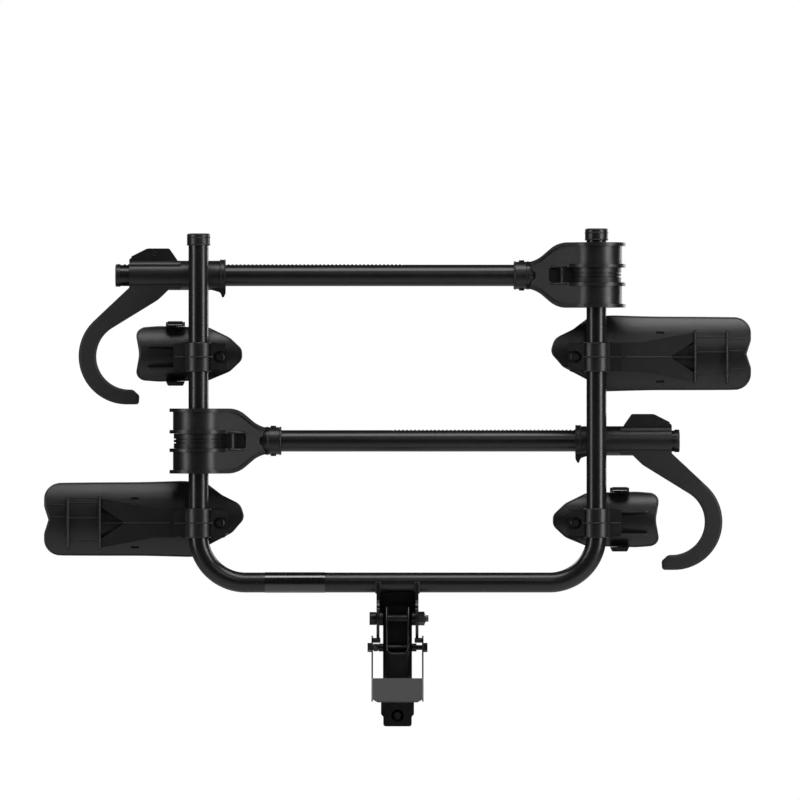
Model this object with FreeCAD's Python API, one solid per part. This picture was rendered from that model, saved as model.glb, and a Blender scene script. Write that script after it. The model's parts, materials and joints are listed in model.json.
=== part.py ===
import FreeCAD, Part
import math
import os
from FreeCAD import Vector as V

# Two-bike platform rack for a 2 in hitch receiver, stowed upright behind a car.
# Millimetres, +Z up, +X to the right seen from behind the car, +Y towards the car.
# The origin is the centre of the hitch pin hole, on the stinger's axis.

# ---- hitch end --------------------------------------------------------------------------
STINGER_SIDE = 50.8          # 2 in square bar
STINGER_WALL = 5.0
STINGER_CORNER = 6.0
STINGER_NOSE = 95.0          # pin hole to the end inside the receiver
STINGER_TAIL = 216.0         # pin hole to the end inside the socket
PIN_R = 8.25                 # 5/8 in hitch pin with clearance
SOCKET_WALL = 7.6
SOCKET_FLOOR = 9.6
SOCKET_LEN = 76.0
SOCKET_PLATE = 8.0
SOCKET_STEP = 4.6            # the socket's foot is this much narrower on each side
SOCKET_TOP = 44.0
ACCESS_R = 12.5              # hole for the wrench that tightens the wedge
FRAME_Y = -200.0             # plane of the tube frame
MAST_W = 58.0
MAST_D = 40.0
MAST_WALL = 5.0
MAST_CORNER = 12.0
PIVOT_Z = 180.0
MAST_ABOVE_PIVOT = 25.0
CUTAWAY_W = 44.0             # rear wall of the mast is open above the lip
CUTAWAY_Z = 110.0
CUTAWAY_CORNER = 12.0

# ---- draw bolt and wedge ----------------------------------------------------------------
ROD_R = 5.0
ROD_Z = -13.5                # the draw bolt passes below the hitch pin
ROD_HEX = 13.0
ROD_HEAD = 8.0
DRAW_HEAD = 5.5              # the draw bolt's head stays behind the stinger's end
WEDGE_SLOPE = 60.0           # degrees between the wedge's sliding face and the stinger's axis
WEDGE_LEN = 12.0             # length of the wedge along its lower face
FIT = 0.08                   # radial clearance of a running fit
GAP = 0.3                    # seat clearance between pieces that move on each other
GUIDE_THICK = 6.0

# ---- fold pivot, pedal and latch --------------------------------------------------------
BUSH_LEN = 7.0               # between the mast and a side plate
BRACKET_GAP = MAST_W + 2.0 * BUSH_LEN
BRACKET_PLATE = 6.0
BRACKET_STEM = 24.0          # half width of the plates towards the rear
WEB_Y = 36.0                 # web plate in front of the pivot
WEB_THICK = 6.0
WEB_BELOW_PIVOT = 14.0
WEB_INTO_TUBE = 8.0
PIVOT_R = 8.0
PIVOT_HEAD_R = 13.0
PIVOT_HEAD = 14.0
PIVOT_NUT_HEX = 24.0
PIVOT_NUT = 12.0
PIVOT_THREAD = 8.0
BUSH_R = 14.0
PEDAL_Z = 122.0
PEDAL_BOLT_R = 5.0
PEDAL_HEX = 16.0
PEDAL_NUT = 8.0
PEDAL_ARM_GAP = 7.0          # between a side plate and the pedal's arm
PEDAL_ARM_X = BRACKET_GAP / 2.0 + BRACKET_PLATE + PEDAL_ARM_GAP
PEDAL_ARM = 3.0
PEDAL_BOSS_R = 12.0
TREAD_TOP = (-50.0, -60.0)   # upper edge of the tread from the pedal's bolt
TREAD_FOOT = (-84.0, -105.0)
TREAD_THICK = 4.0
TREAD_CLIP = (9.0, 7.0)      # clipped lower corners
SPACER_R = 8.0
SPACER_LEN = 9.0
BAR_R = 5.0
BAR_BELOW_PIVOT = 43.0
BAR_GAP = 0.4
NOTCH_DEPTH = 4.0
SPRING_WIRE = 1.2
SPRING_TURNS = 5
PIN_INSIDE = 2.0             # a latch pin reaches this far past its side plate

# ---- tube frame -------------------------------------------------------------------------
TUBE_R = 20.0
TUBE_WALL = 2.5
UPRIGHT_X = 398.0
CROSS_Z = 252.0
BEND_R = 94.0
UPRIGHT_TOP = 948.0
LEFT_SHORTER = 10.0          # the left upright ends this much lower
CAP_R = 23.0
CAP_LEN = 24.0
CAP_PLUG = 16.0
BAND_FROM_UPRIGHT = 193.0
BAND_LEN = 120.0
BAND_THICK = 0.6

# ---- levels -----------------------------------------------------------------------------
FIRST_TRAY_Z = 371.0
BIKE_PITCH = 332.0
ARM_ABOVE_TRAY = 164.0
ARM_Y = 68.0                 # arm axis in front of the frame plane

# ---- yoke and hub -----------------------------------------------------------------------
YOKE_H = 130.0
BARREL_R = 51.0
LIP = 7.0
LIP_THICK = 7.0
HUB_H = 30.0
HUB_R = 49.5
HUB_GROOVE = 2.0
HUB_GROOVE_AT = 3.6
HUB_EAR = 74.0
HUB_EAR_T = 20.0
EAR_SWEEP = 99.0
POCKET_BACK = 15.0
COLLAR_R = 27.5
COLLAR_START = 132.0
COLLAR_END = 165.0
NECK_HALF = 19.0
SHOULDER = 78.0
SHOULDER_ROUND = 50.0
NECK_ROUND = 60.0
NECK_BEND = 8.0              # the neck is level this far before the collar
PANEL_LEN = 20.0             # sunk panel on the neck's rear face
PANEL_HALF = 13.0
PANEL_DEPTH = 4.0
SCREW_R = 3.0
SCREW_HEAD_R = 5.5
SCREW_HEAD = 3.0
SCREW_FROM_END = 16.0

# ---- arm, slider and hook ---------------------------------------------------------------
ARM_R = 21.5
ARM_WALL = 2.5
ARM_START = 100.0            # tube end inside the yoke, from the upright's axis
ARM_PAST_UPRIGHT = 158.0
ARM_END_X = UPRIGHT_X + ARM_PAST_UPRIGHT
PLUG_LEN = 12.0
PLUG_R = 22.8
PLUG_CAP = 10.0
RACK_W = 10.0
RACK_FLAT = 17.8
RACK_TIP = 22.5
RACK_LEN = 566.0
RACK_START_X = ARM_END_X - RACK_LEN
TOOTH_PITCH = 8.0
TOOTH_H = 3.6
TOOTH_RISE = 0.55            # shares of the pitch: end of the slope, end of the crest
TOOTH_CREST = 0.8
SLIDER_FROM_END = 13.0
SLIDER_AT = (7.0, -5.0)      # where the lower and the upper slider are parked, outwards
SLEEVE_LEN = 193.0
SLEEVE_END_X = ARM_END_X - SLIDER_FROM_END
SLEEVE_X = SLEEVE_END_X - SLEEVE_LEN
SLEEVE_R = 29.5
SLEEVE_FLANGE = 11.0
SLEEVE_FLANGE_R = 31.5
TAB_DROP = 44.0
TAB_W = 26.0
TAB_LEN = 30.0
ROOT_X = SLEEVE_END_X - 103.0
ROOT_HALF_Y = 24.0
ROOT_ROUND = 12.0
SLIDE_GAP = 0.25
RACK_SLOT_GAP = 1.2
HOUSING_LEN = 96.0
HOUSING_IN = SLEEVE_END_X - HOUSING_LEN
HOUSING_RAMP = 16.0
HOUSING_TOP_IN = HOUSING_IN + HOUSING_RAMP
HOUSING_TOP = 54.0
HOUSING_END_TOP = 40.0
HOUSING_BASE = 27.0
HOUSING_HALF_Y = 15.0
HOUSING_WALL = 3.5
LEVER_PIN_X = SLEEVE_END_X - 51.0
LEVER_PIN_Z = 43.0
LEVER_PIN_R = 2.5
PAWL_X = LEVER_PIN_X - 22.0
HOOK_HALF_Y = 11.0
HOOK_INNER = -84.0           # hook sizes are counted outwards from the sleeve's end
HOOK_OUTER = -2.0
HOOK_KNEE = (-58.0, 48.5)    # where the inner edge leaves the root, and how far down
HOOK_KNEE_R = 60.0
HOOK_DROP = 259.0
HOOK_THICK = 30.0
HOOK_BOWL_R = 66.5
HOOK_OUT_R = 97.0
HOOK_OUT_ANGLE = 43.0
HOOK_IN_ANGLE = 31.7
HOOK_TIP = -19.0
HOOK_TIP_ROUND = 12.0
HOOK_ROOT_HALF_Y = 23.0      # the hook is thick at its root and thins to HOOK_HALF_Y
HOOK_TAPER = 62.0
HOOK_ROUND = 5.0

# ---- wheel trays ------------------------------------------------------------------------
TRAY_WALL = 4.0
TRAY_FLOOR = 24.0            # underside of the trough behind the tube's axis
TRAY_DEPTH = 30.0
TRAY_UP = 6.0                # centre of the trough above its clamp
LONG_HALF = 77.0
LONG_OUT_X = UPRIGHT_X + 310.0
LONG_IN_X = UPRIGHT_X - 92.0
LONG_SHOULDER_X = UPRIGHT_X - 6.0
LONG_TAPER = 38.0
LONG_END_NOTCH = 9.0
LONG_NOTCH_HALF = 28.0
SHORT_HALF = 55.5
SHORT_OUT_X = UPRIGHT_X + 128.0
SHORT_IN_X = UPRIGHT_X - 87.0
SHORT_SHOULDER_X = UPRIGHT_X - 18.0
SHORT_TAPER = 46.0
SHORT_END_HOLLOW = 9.0
KEEL_HALF_IN = 29.0
KEEL_HALF_OUT = 50.0
KEEL_BEND_X = LONG_SHOULDER_X + 92.0
KEEL_OUT_X = LONG_OUT_X - 112.0
FORK_LEN = 48.0              # the keel forks this far before its end
FORK_HALF = 36.0
FORK_WEB = 3.5
RIB_THICK = 4.0
RIB_DEPTH = 9.0
RIB_HALF = 54.0
LONG_RIBS = (LONG_OUT_X - 112.0, LONG_OUT_X - 48.0)
SLOT_X = LONG_OUT_X - 182.0  # strap slots beside the keel
SLOT_Z = 45.0
SLOT_LEN = 16.0
SLOT_W = 6.0
CLAMP_HALF_Z = 29.5
CLAMP_R = 28.0
CLAMP_OUT = 50.0
CLAMP_IN = 58.0
CLAMP_TAPER = 13.0
CLAMP_SPLIT = 1.0
CLAMP_BOLT_AT = 42.0
JAW_START = 24.0             # the jaws stand round the bolt, inboard of the upright
JAW_HALF = 26.0
JAW_DEPTH = 18.0
JAW_SLOT = 12.0
SEAT_DEPTH = 8.0
CLAMP_BOLT_R = 4.0
CLAMP_HEX = 13.0
CLAMP_HEAD = 6.0
SADDLE_HALF_Z = 27.0

# ---- wheel strap ------------------------------------------------------------------------
STRAP_X = UPRIGHT_X + 47.0
STRAP_W = 26.0
STRAP_T = 2.5
BUCKLE_W = 38.0
BUCKLE_T = 9.0
BUCKLE_H = 26.0
BUCKLE_LEVER_T = 5.0
BUCKLE_LEVER_L = 30.0
BUCKLE_PIN_R = 2.0


# ---- helpers ----------------------------------------------------------------------------
def box(x0, x1, y0, y1, z0, z1):
    """Box between two corners."""
    return Part.makeBox(x1 - x0, y1 - y0, z1 - z0, V(x0, y0, z0))


def rod(radius, start, end):
    """Cylinder from one point to another."""
    way = V(*end) - V(*start)
    return Part.makeCylinder(radius, way.Length, V(*start), way)


def pipe(outer, inner, start, end):
    """Straight tube between two points."""
    return rod(outer, start, end).cut(rod(inner, start, end))


def hexagon(across, start, end):
    """Hexagonal prism; its size is the distance across its flats."""
    way = V(*end) - V(*start)
    corner = across / math.sqrt(3.0)
    ring = [V(corner * math.cos(math.radians(a)), corner * math.sin(math.radians(a)), 0)
            for a in range(0, 420, 60)]
    face = Part.Face(Part.makePolygon(ring))
    prism = face.extrude(V(0, 0, way.Length))
    prism.Placement = FreeCAD.Placement(V(*start), FreeCAD.Rotation(V(0, 0, 1), way))
    return prism


def rounded_wire(corners, place):
    """Closed wire through corners (a, b, radius); place turns (a, b) into a point."""
    stops = []
    count = len(corners)
    for i, (a, b, radius) in enumerate(corners):
        here = V(a, b, 0)
        back = V(corners[i - 1][0], corners[i - 1][1], 0) - here
        ahead = V(corners[(i + 1) % count][0], corners[(i + 1) % count][1], 0) - here
        back.normalize()
        ahead.normalize()
        if radius <= 0:
            stops.append((here, None, here))
            continue
        half = back.getAngle(ahead) / 2.0
        middle = back + ahead
        middle.normalize()
        reach = radius / math.tan(half)
        top = here + middle * (radius / math.sin(half) - radius)
        stops.append((here + back * reach, top, here + ahead * reach))
    edges = []
    for i, (start, top, end) in enumerate(stops):
        if top is not None:
            arc = Part.Arc(place(start.x, start.y), place(top.x, top.y), place(end.x, end.y))
            edges.append(arc.toShape())
        after = stops[(i + 1) % count][0]
        if end.distanceToPoint(after) > 0.001:
            edges.append(Part.makeLine(place(end.x, end.y), place(after.x, after.y)))
    return Part.Wire(edges)


def slab_xz(corners, y0, y1):
    """Outline in X and Z, extruded along Y."""
    wire = rounded_wire(corners, lambda a, b: V(a, y0, b))
    return Part.Face(wire).extrude(V(0, y1 - y0, 0))


def slab_xy(corners, z0, z1):
    """Outline in X and Y, extruded along Z."""
    wire = rounded_wire(corners, lambda a, b: V(a, b, z0))
    return Part.Face(wire).extrude(V(0, 0, z1 - z0))


def slab_yz(corners, x0, x1):
    """Outline in Y and Z, extruded along X."""
    wire = rounded_wire(corners, lambda a, b: V(x0, a, b))
    return Part.Face(wire).extrude(V(x1 - x0, 0, 0))


def rounded_box_z(width, depth, corner, z0, z1, y_mid=0.0):
    """Upright box with rounded vertical corners, centred on x = 0."""
    w = width / 2.0
    d = depth / 2.0
    ring = [(-w, y_mid - d, corner), (w, y_mid - d, corner),
            (w, y_mid + d, corner), (-w, y_mid + d, corner)]
    return slab_xy(ring, z0, z1)


def mirrored(shape):
    """The same shape on the other side of x = 0."""
    return shape.mirror(V(0, 0, 0), V(1, 0, 0))


def both_sides(shape):
    """A shape and its mirror image."""
    return [shape, mirrored(shape)]


def moved(shape, x=0.0, y=0.0, z=0.0):
    """A copy moved along the axes."""
    copy = shape.copy()
    copy.translate(V(x, y, z))
    return copy


def single(shape):
    """The one solid that a boolean result holds."""
    cleaned = shape.removeSplitter()
    return cleaned.Solids[0] if len(cleaned.Solids) == 1 else cleaned


def save(name, *shapes):
    """Write one node; several separate solids share it as a group."""
    solids = []
    for shape in shapes:
        solids.extend(shape.Solids)
    whole = solids[0] if len(solids) == 1 else Part.makeCompound(solids)
    whole.exportStep("parts/" + name + ".step")
    print(name, len(solids), "solids", round(whole.Volume / 1000.0, 1), "cm3", whole.isValid())


# ---- hitch end --------------------------------------------------------------------------
STINGER_HALF = STINGER_SIDE / 2.0
SOCKET_REAR = -STINGER_TAIL - SOCKET_PLATE
MAST_REAR = FRAME_Y - MAST_D / 2.0
MAST_TOP = PIVOT_Z + MAST_ABOVE_PIVOT


def stinger():
    """Square tube with the hitch pin's hole across it."""
    half = STINGER_HALF
    inner = half - STINGER_WALL
    outside = [(-half, -half, STINGER_CORNER), (half, -half, STINGER_CORNER),
               (half, half, STINGER_CORNER), (-half, half, STINGER_CORNER)]
    hole = [(-inner, -inner, 1.0), (inner, -inner, 1.0), (inner, inner, 1.0), (-inner, inner, 1.0)]
    tube = slab_xz(outside, -STINGER_TAIL, STINGER_NOSE)
    tube = tube.cut(slab_xz(hole, -STINGER_TAIL, STINGER_NOSE))
    tube = tube.cut(wedge_side(STINGER_NOSE, STINGER_NOSE + 1.0, 0.0))
    return tube.cut(rod(PIN_R, (-half - 1, 0, 0), (half + 1, 0, 0)))


def socket():
    """Welded box that closes round the stinger's rear end and carries the mast."""
    wide = STINGER_HALF + SOCKET_WALL
    narrow = wide - SOCKET_STEP
    foot = -STINGER_HALF - SOCKET_FLOOR
    step = foot + SOCKET_FLOOR * 2.0
    outside = [(-narrow, foot, 5.0), (narrow, foot, 5.0), (narrow, step, 1.0), (wide, step + 5.0, 2.0),
               (wide, SOCKET_TOP, 4.0), (-wide, SOCKET_TOP, 4.0), (-wide, step + 5.0, 2.0),
               (-narrow, step, 1.0)]
    block = slab_xz(outside, SOCKET_REAR, SOCKET_REAR + SOCKET_LEN)
    half = STINGER_HALF
    bore = [(-half, -half, STINGER_CORNER), (half, -half, STINGER_CORNER),
            (half, half, STINGER_CORNER), (-half, half, STINGER_CORNER)]
    block = block.cut(slab_xz(bore, -STINGER_TAIL, SOCKET_REAR + SOCKET_LEN))
    return block.cut(rod(ACCESS_R, (0, SOCKET_REAR - 1, ROD_Z), (0, -STINGER_TAIL + 1, ROD_Z)))


def mast():
    """Rounded box section up to the fold pivot, open at the rear above a U-shaped lip."""
    wall = MAST_WALL
    shell = rounded_box_z(MAST_W, MAST_D, MAST_CORNER, SOCKET_TOP, MAST_TOP, FRAME_Y)
    hollow = rounded_box_z(MAST_W - 2 * wall, MAST_D - 2 * wall, MAST_CORNER - wall,
                           SOCKET_TOP, MAST_TOP, FRAME_Y)
    shell = shell.cut(hollow)
    half = CUTAWAY_W / 2.0
    above = MAST_TOP + 10.0
    window = [(-half, CUTAWAY_Z, CUTAWAY_CORNER), (half, CUTAWAY_Z, CUTAWAY_CORNER),
              (half, above, 0), (-half, above, 0)]
    shell = shell.cut(slab_xz(window, MAST_REAR - 1, FRAME_Y))
    across = MAST_W / 2.0 + 1
    shell = shell.cut(rod(PIVOT_R, (-across, FRAME_Y, PIVOT_Z), (across, FRAME_Y, PIVOT_Z)))
    return shell.cut(rod(PEDAL_BOLT_R, (-across, FRAME_Y, PEDAL_Z), (across, FRAME_Y, PEDAL_Z)))


def pivot_bolt():
    """Fold pivot: shaft, round head on the left, nut and bare thread on the right."""
    side = BRACKET_GAP / 2.0 + BRACKET_PLATE
    shaft = rod(PIVOT_R, (-side, FRAME_Y, PIVOT_Z), (side + PIVOT_NUT, FRAME_Y, PIVOT_Z))
    head = rod(PIVOT_HEAD_R, (-side - PIVOT_HEAD, FRAME_Y, PIVOT_Z), (-side, FRAME_Y, PIVOT_Z))
    head = head.makeChamfer(1.5, head.Faces[0].Edges[:1] + head.Faces[1].Edges[:1])
    return shaft.fuse(head)


def pivot_nut():
    """Hexagon nut with the end of the thread standing out of it."""
    side = BRACKET_GAP / 2.0 + BRACKET_PLATE
    end = side + PIVOT_NUT
    nut = hexagon(PIVOT_NUT_HEX, (side, FRAME_Y, PIVOT_Z), (end, FRAME_Y, PIVOT_Z))
    nut = nut.cut(rod(PIVOT_R, (side, FRAME_Y, PIVOT_Z), (end, FRAME_Y, PIVOT_Z)))
    tip = rod(PIVOT_R - 1.5, (end, FRAME_Y, PIVOT_Z), (end + PIVOT_THREAD, FRAME_Y, PIVOT_Z))
    cone = Part.makeCone(PIVOT_R + 3.0, PIVOT_R - 1.5, 3.0, V(end, FRAME_Y, PIVOT_Z), V(1, 0, 0))
    return nut.fuse(cone).fuse(tip)


def pivot_bush():
    """Spacer between the mast and a side plate."""
    return pipe(BUSH_R, PIVOT_R, (MAST_W / 2.0, FRAME_Y, PIVOT_Z),
                (BRACKET_GAP / 2.0, FRAME_Y, PIVOT_Z))


def pedal_bolt():
    """Pedal pivot: shaft with a hexagon head on the right."""
    side = PEDAL_ARM_X + PEDAL_ARM
    shaft = rod(PEDAL_BOLT_R, (-side - PEDAL_NUT, FRAME_Y, PEDAL_Z), (side, FRAME_Y, PEDAL_Z))
    return shaft.fuse(hexagon(PEDAL_HEX, (side, FRAME_Y, PEDAL_Z),
                              (side + PEDAL_NUT, FRAME_Y, PEDAL_Z)))


def pedal_nut():
    """Nut on the left end of the pedal's bolt."""
    side = PEDAL_ARM_X + PEDAL_ARM
    nut = hexagon(PEDAL_HEX, (-side - PEDAL_NUT, FRAME_Y, PEDAL_Z), (-side, FRAME_Y, PEDAL_Z))
    return nut.cut(rod(PEDAL_BOLT_R, (-side - PEDAL_NUT, FRAME_Y, PEDAL_Z), (-side, FRAME_Y, PEDAL_Z)))


def pedal_spacer():
    """Short bush beside the mast on the pedal's bolt."""
    inner = MAST_W / 2.0
    return pipe(SPACER_R, PEDAL_BOLT_R, (inner, FRAME_Y, PEDAL_Z),
                (inner + SPACER_LEN, FRAME_Y, PEDAL_Z))


def pedal_spring():
    """Return spring of the pedal: a coil round the bolt, drawn as its turns."""
    start = -MAST_W / 2.0 - SPACER_LEN - GAP
    room = PEDAL_ARM_X + start - GAP
    pitch = (room - 2 * SPRING_WIRE) / SPRING_TURNS
    radius = PEDAL_BOLT_R + SPRING_WIRE + GAP
    helix = Part.makeHelix(pitch, pitch * SPRING_TURNS, radius)
    ring = Part.Wire(Part.makeCircle(SPRING_WIRE, V(radius, 0, 0), V(0, 1, 0)))
    coil = Part.Wire(helix).makePipeShell([ring], True, True)
    turn = FreeCAD.Rotation(V(0, 0, 1), V(-1, 0, 0))
    coil.Placement = FreeCAD.Placement(V(start - SPRING_WIRE, FRAME_Y, PEDAL_Z), turn)
    return coil


# ---- draw bolt and wedge ----------------------------------------------------------------
WEDGE_FRONT = STINGER_NOSE + GAP + WEDGE_LEN
WEDGE_RUN = STINGER_SIDE / math.tan(math.radians(WEDGE_SLOPE))
GUIDE_Y = STINGER_NOSE - WEDGE_RUN - 2.0 * GUIDE_THICK


def draw_bolt():
    """Long rod through the stinger; its head is reached through the socket's rear plate."""
    tip = WEDGE_FRONT + GAP + ROD_HEAD + 3.0
    head_y = SOCKET_REAR + 2.0
    shaft = rod(ROD_R, (0, head_y, ROD_Z), (0, tip, ROD_Z))
    return shaft.fuse(hexagon(ROD_HEX, (0, head_y, ROD_Z), (0, head_y + DRAW_HEAD, ROD_Z)))


def rod_guide(y):
    """Plate welded across the stinger's bore that guides the draw bolt."""
    inner = STINGER_HALF - STINGER_WALL
    plate = box(-inner, inner, y, y + GUIDE_THICK, -inner, inner)
    return plate.cut(rod(ROD_R + FIT, (0, y - 1, ROD_Z), (0, y + GUIDE_THICK + 1, ROD_Z)))


def wedge_side(y_low, y_high, shift):
    """Side outline between the sloping face, moved forwards by shift, and a flat front."""
    half = STINGER_HALF
    return slab_yz([(y_low + shift, -half, 0), (y_high, -half, 0), (y_high, half, 0),
                    (y_low + shift - WEDGE_RUN, half, 0)], -half, half)


def wedge():
    """Block at the stinger's nose that climbs a slope and grips the receiver."""
    block = wedge_side(STINGER_NOSE, WEDGE_FRONT, GAP)
    room = ROD_R + 1.0
    slot = box(-room, room, 0, WEDGE_FRONT + 1, -STINGER_HALF - 1, ROD_Z)
    block = block.cut(slot).cut(rod(room, (0, 0, ROD_Z), (0, WEDGE_FRONT + 1, ROD_Z)))
    front = [e for e in block.Edges if e.BoundBox.YMin > WEDGE_FRONT - 0.01 and e.BoundBox.XLength > 30]
    return block.makeChamfer(2.0, front)


def wedge_nut():
    """Nut fixed on the rod's end that draws the wedge in."""
    start = WEDGE_FRONT + GAP
    nut = hexagon(ROD_HEX * 1.5, (0, start, ROD_Z), (0, start + ROD_HEAD, ROD_Z))
    return nut.cut(rod(ROD_R, (0, start - 1, ROD_Z), (0, start + ROD_HEAD + 1, ROD_Z)))


# ---- pedal ------------------------------------------------------------------------------
PIVOT_TO_PEDAL = PIVOT_Z - PEDAL_Z
BAR_REACH = math.sqrt(PIVOT_TO_PEDAL * BAR_BELOW_PIVOT)
BAR_Y = FRAME_Y - math.sqrt(BAR_REACH ** 2 - BAR_BELOW_PIVOT ** 2)
BAR_Z = PIVOT_Z - BAR_BELOW_PIVOT
QUADRANT_R = BAR_REACH - BAR_R - BAR_GAP


def pedal_arm():
    """Side arm from the latch pin past the bolt down to the tread."""
    y, z = FRAME_Y, PEDAL_Z
    top = (y + TREAD_TOP[0], z + TREAD_TOP[1])
    foot = (y + TREAD_FOOT[0], z + TREAD_FOOT[1])
    r = PEDAL_BOSS_R
    outline = [(y + r, z + r, r), (y + r, z - r, r), (foot[0] + r, foot[1], 3.0),
               (foot[0] - 1, foot[1] - 1, 2.0),
               (top[0] - 1, top[1] + 1, 8.0), (BAR_Y - BAR_R - 4, BAR_Z - 4, 6.0),
               (BAR_Y - BAR_R - 4, BAR_Z + BAR_R + 4, 7.0), (BAR_Y + r, BAR_Z + BAR_R + 4, 8.0)]
    arm = slab_yz(outline, PEDAL_ARM_X, PEDAL_ARM_X + PEDAL_ARM)
    far = PEDAL_ARM_X + PEDAL_ARM + 1
    arm = arm.cut(rod(PEDAL_BOLT_R + FIT, (PEDAL_ARM_X - 1, y, z), (far, y, z)))
    return arm.cut(rod(BAR_R, (PEDAL_ARM_X - 1, BAR_Y, BAR_Z), (far, BAR_Y, BAR_Z)))


def pedal_tread():
    """Sloping foot plate between the arms, with clipped lower corners."""
    top = V(0, TREAD_TOP[0], TREAD_TOP[1])
    foot = V(0, TREAD_FOOT[0], TREAD_FOOT[1])
    drop = foot - top
    length = drop.Length
    half = PEDAL_ARM_X
    side, end = TREAD_CLIP
    ring = [(-half, 0, 1.0), (half, 0, 1.0), (half, length - end, 1.0), (half - side, length, 2.0),
            (-half + side, length, 2.0), (-half, length - end, 1.0)]
    plate = slab_xy(ring, 0, TREAD_THICK)
    slope = math.degrees(math.atan2(-drop.z, -drop.y))
    plate.rotate(V(0, 0, 0), V(1, 0, 0), 180.0 + slope)
    return moved(plate, 0, FRAME_Y + top.y, PEDAL_Z + top.z)


def latch_pin():
    """Pin through the pedal's right arm that drops into its side plate's notch."""
    inner = BRACKET_GAP / 2.0 - PIN_INSIDE
    return rod(BAR_R, (inner, BAR_Y, BAR_Z), (PEDAL_ARM_X + PEDAL_ARM, BAR_Y, BAR_Z))


# ---- bracket ----------------------------------------------------------------------------
def side_plate():
    """Quadrant plate from the fold pivot up to the cross tube."""
    x0 = BRACKET_GAP / 2.0
    x1 = x0 + BRACKET_PLATE
    disc = rod(QUADRANT_R, (x0, FRAME_Y, PIVOT_Z), (x1, FRAME_Y, PIVOT_Z))
    rear = FRAME_Y - BRACKET_STEM
    front = FRAME_Y + WEB_Y + WEB_THICK
    stem = slab_yz([(rear, PIVOT_Z, 0), (front, PIVOT_Z, 0), (front, CROSS_Z + 8.0, 6.0),
                    (rear, CROSS_Z + 8.0, 6.0)], x0, x1)
    plate = disc.fuse(stem)
    plate = plate.cut(rod(TUBE_R, (x0 - 1, FRAME_Y, CROSS_Z), (x1 + 1, FRAME_Y, CROSS_Z)))
    plate = plate.cut(box(x0 - 1, x1 + 1, rear - 1, FRAME_Y, CROSS_Z, CROSS_Z + 20))
    plate = plate.cut(rod(PIVOT_R + FIT, (x0 - 1, FRAME_Y, PIVOT_Z), (x1 + 1, FRAME_Y, PIVOT_Z)))
    rest = math.atan2(BAR_Y - FRAME_Y, BAR_Z - PIVOT_Z)
    for fold in (0, 90):
        at = rest + math.radians(fold)
        y = FRAME_Y + (BAR_REACH - NOTCH_DEPTH) * math.sin(at)
        z = PIVOT_Z + (BAR_REACH - NOTCH_DEPTH) * math.cos(at)
        plate = plate.cut(rod(BAR_R + BAR_GAP, (x0 - 1, y, z), (x1 + 1, y, z)))
    return single(plate)


def web_plate():
    """Cross plate that ties the side plates together in front of the pivot."""
    x = BRACKET_GAP / 2.0
    y = FRAME_Y + WEB_Y
    return box(-x, x, y, y + WEB_THICK, PIVOT_Z - WEB_BELOW_PIVOT, CROSS_Z + WEB_INTO_TUBE)


# ---- tube frame -------------------------------------------------------------------------
BEND_START_Z = CROSS_Z + BEND_R
CROSS_HALF = UPRIGHT_X - BEND_R


def upright(top):
    """Right-hand upright above the bend."""
    return pipe(TUBE_R, TUBE_R - TUBE_WALL, (UPRIGHT_X, FRAME_Y, BEND_START_Z),
                (UPRIGHT_X, FRAME_Y, top))


def bend():
    """Quarter bend between the cross tube and the right-hand upright."""
    centre = V(CROSS_HALF, FRAME_Y, BEND_START_Z)
    start = V(CROSS_HALF, FRAME_Y, CROSS_Z)
    rings = []
    for radius in (TUBE_R, TUBE_R - TUBE_WALL):
        disc = Part.Face(Part.Wire(Part.makeCircle(radius, start, V(1, 0, 0))))
        rings.append(disc.revolve(centre, V(0, -1, 0), 90))
    return rings[0].cut(rings[1])


def cross_tube():
    """Straight tube between the bends."""
    return pipe(TUBE_R, TUBE_R - TUBE_WALL, (-CROSS_HALF, FRAME_Y, CROSS_Z),
                (CROSS_HALF, FRAME_Y, CROSS_Z))


def end_cap(top):
    """Plastic cap with a plug, on top of the right-hand upright."""
    half = CAP_LEN / 2
    rim = rod(CAP_R, (UPRIGHT_X, FRAME_Y, top - half), (UPRIGHT_X, FRAME_Y, top + half))
    rim = rim.cut(rod(TUBE_R, (UPRIGHT_X, FRAME_Y, top - CAP_LEN), (UPRIGHT_X, FRAME_Y, top)))
    plug = rod(TUBE_R - TUBE_WALL - GAP, (UPRIGHT_X, FRAME_Y, top - CAP_PLUG),
               (UPRIGHT_X, FRAME_Y, top))
    crown = [e for e in rim.Edges if e.BoundBox.ZMin > top + half - 0.01]
    return rim.makeFillet(3.0, crown).fuse(plug)


def gloss_band():
    """Thin gloss sleeve round the cross tube."""
    middle = BAND_FROM_UPRIGHT - UPRIGHT_X
    half = BAND_LEN / 2
    return pipe(TUBE_R + BAND_THICK, TUBE_R, (middle - half, FRAME_Y, CROSS_Z),
                (middle + half, FRAME_Y, CROSS_Z))


# ---- yoke and hub: drawn for the lower level, heights counted from its clamp centre -----
AXIS_X = -UPRIGHT_X
ARM_AXIS_Y = FRAME_Y + ARM_Y
ARM_Z = ARM_ABOVE_TRAY


def tangent_point(x, y, radius, side):
    """Where a line from (x, y) touches a circle round (0, 0); side is -1 or 1."""
    turn = math.atan2(y, x) + side * math.acos(radius / math.hypot(x, y))
    return radius * math.cos(turn), radius * math.sin(turn)


def yoke_plan(radius, start, end, half, z0, z1):
    """Teardrop seen from above: a disc round the upright and a neck to the arm's collar."""
    front = tangent_point(start, ARM_Y - half, radius, -1)
    back = tangent_point(start, ARM_Y + half, radius, 1)
    ring = [(0, 0, 0), (front[0], front[1], 0), (start, ARM_Y - half, 0), (end, ARM_Y - half, 0),
            (end, ARM_Y + half, 0), (start, ARM_Y + half, 0), (back[0], back[1], 0)]
    disc = rod(radius, (0, 0, z0), (0, 0, z1))
    return disc.fuse(slab_xy(ring, z0, z1))


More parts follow.
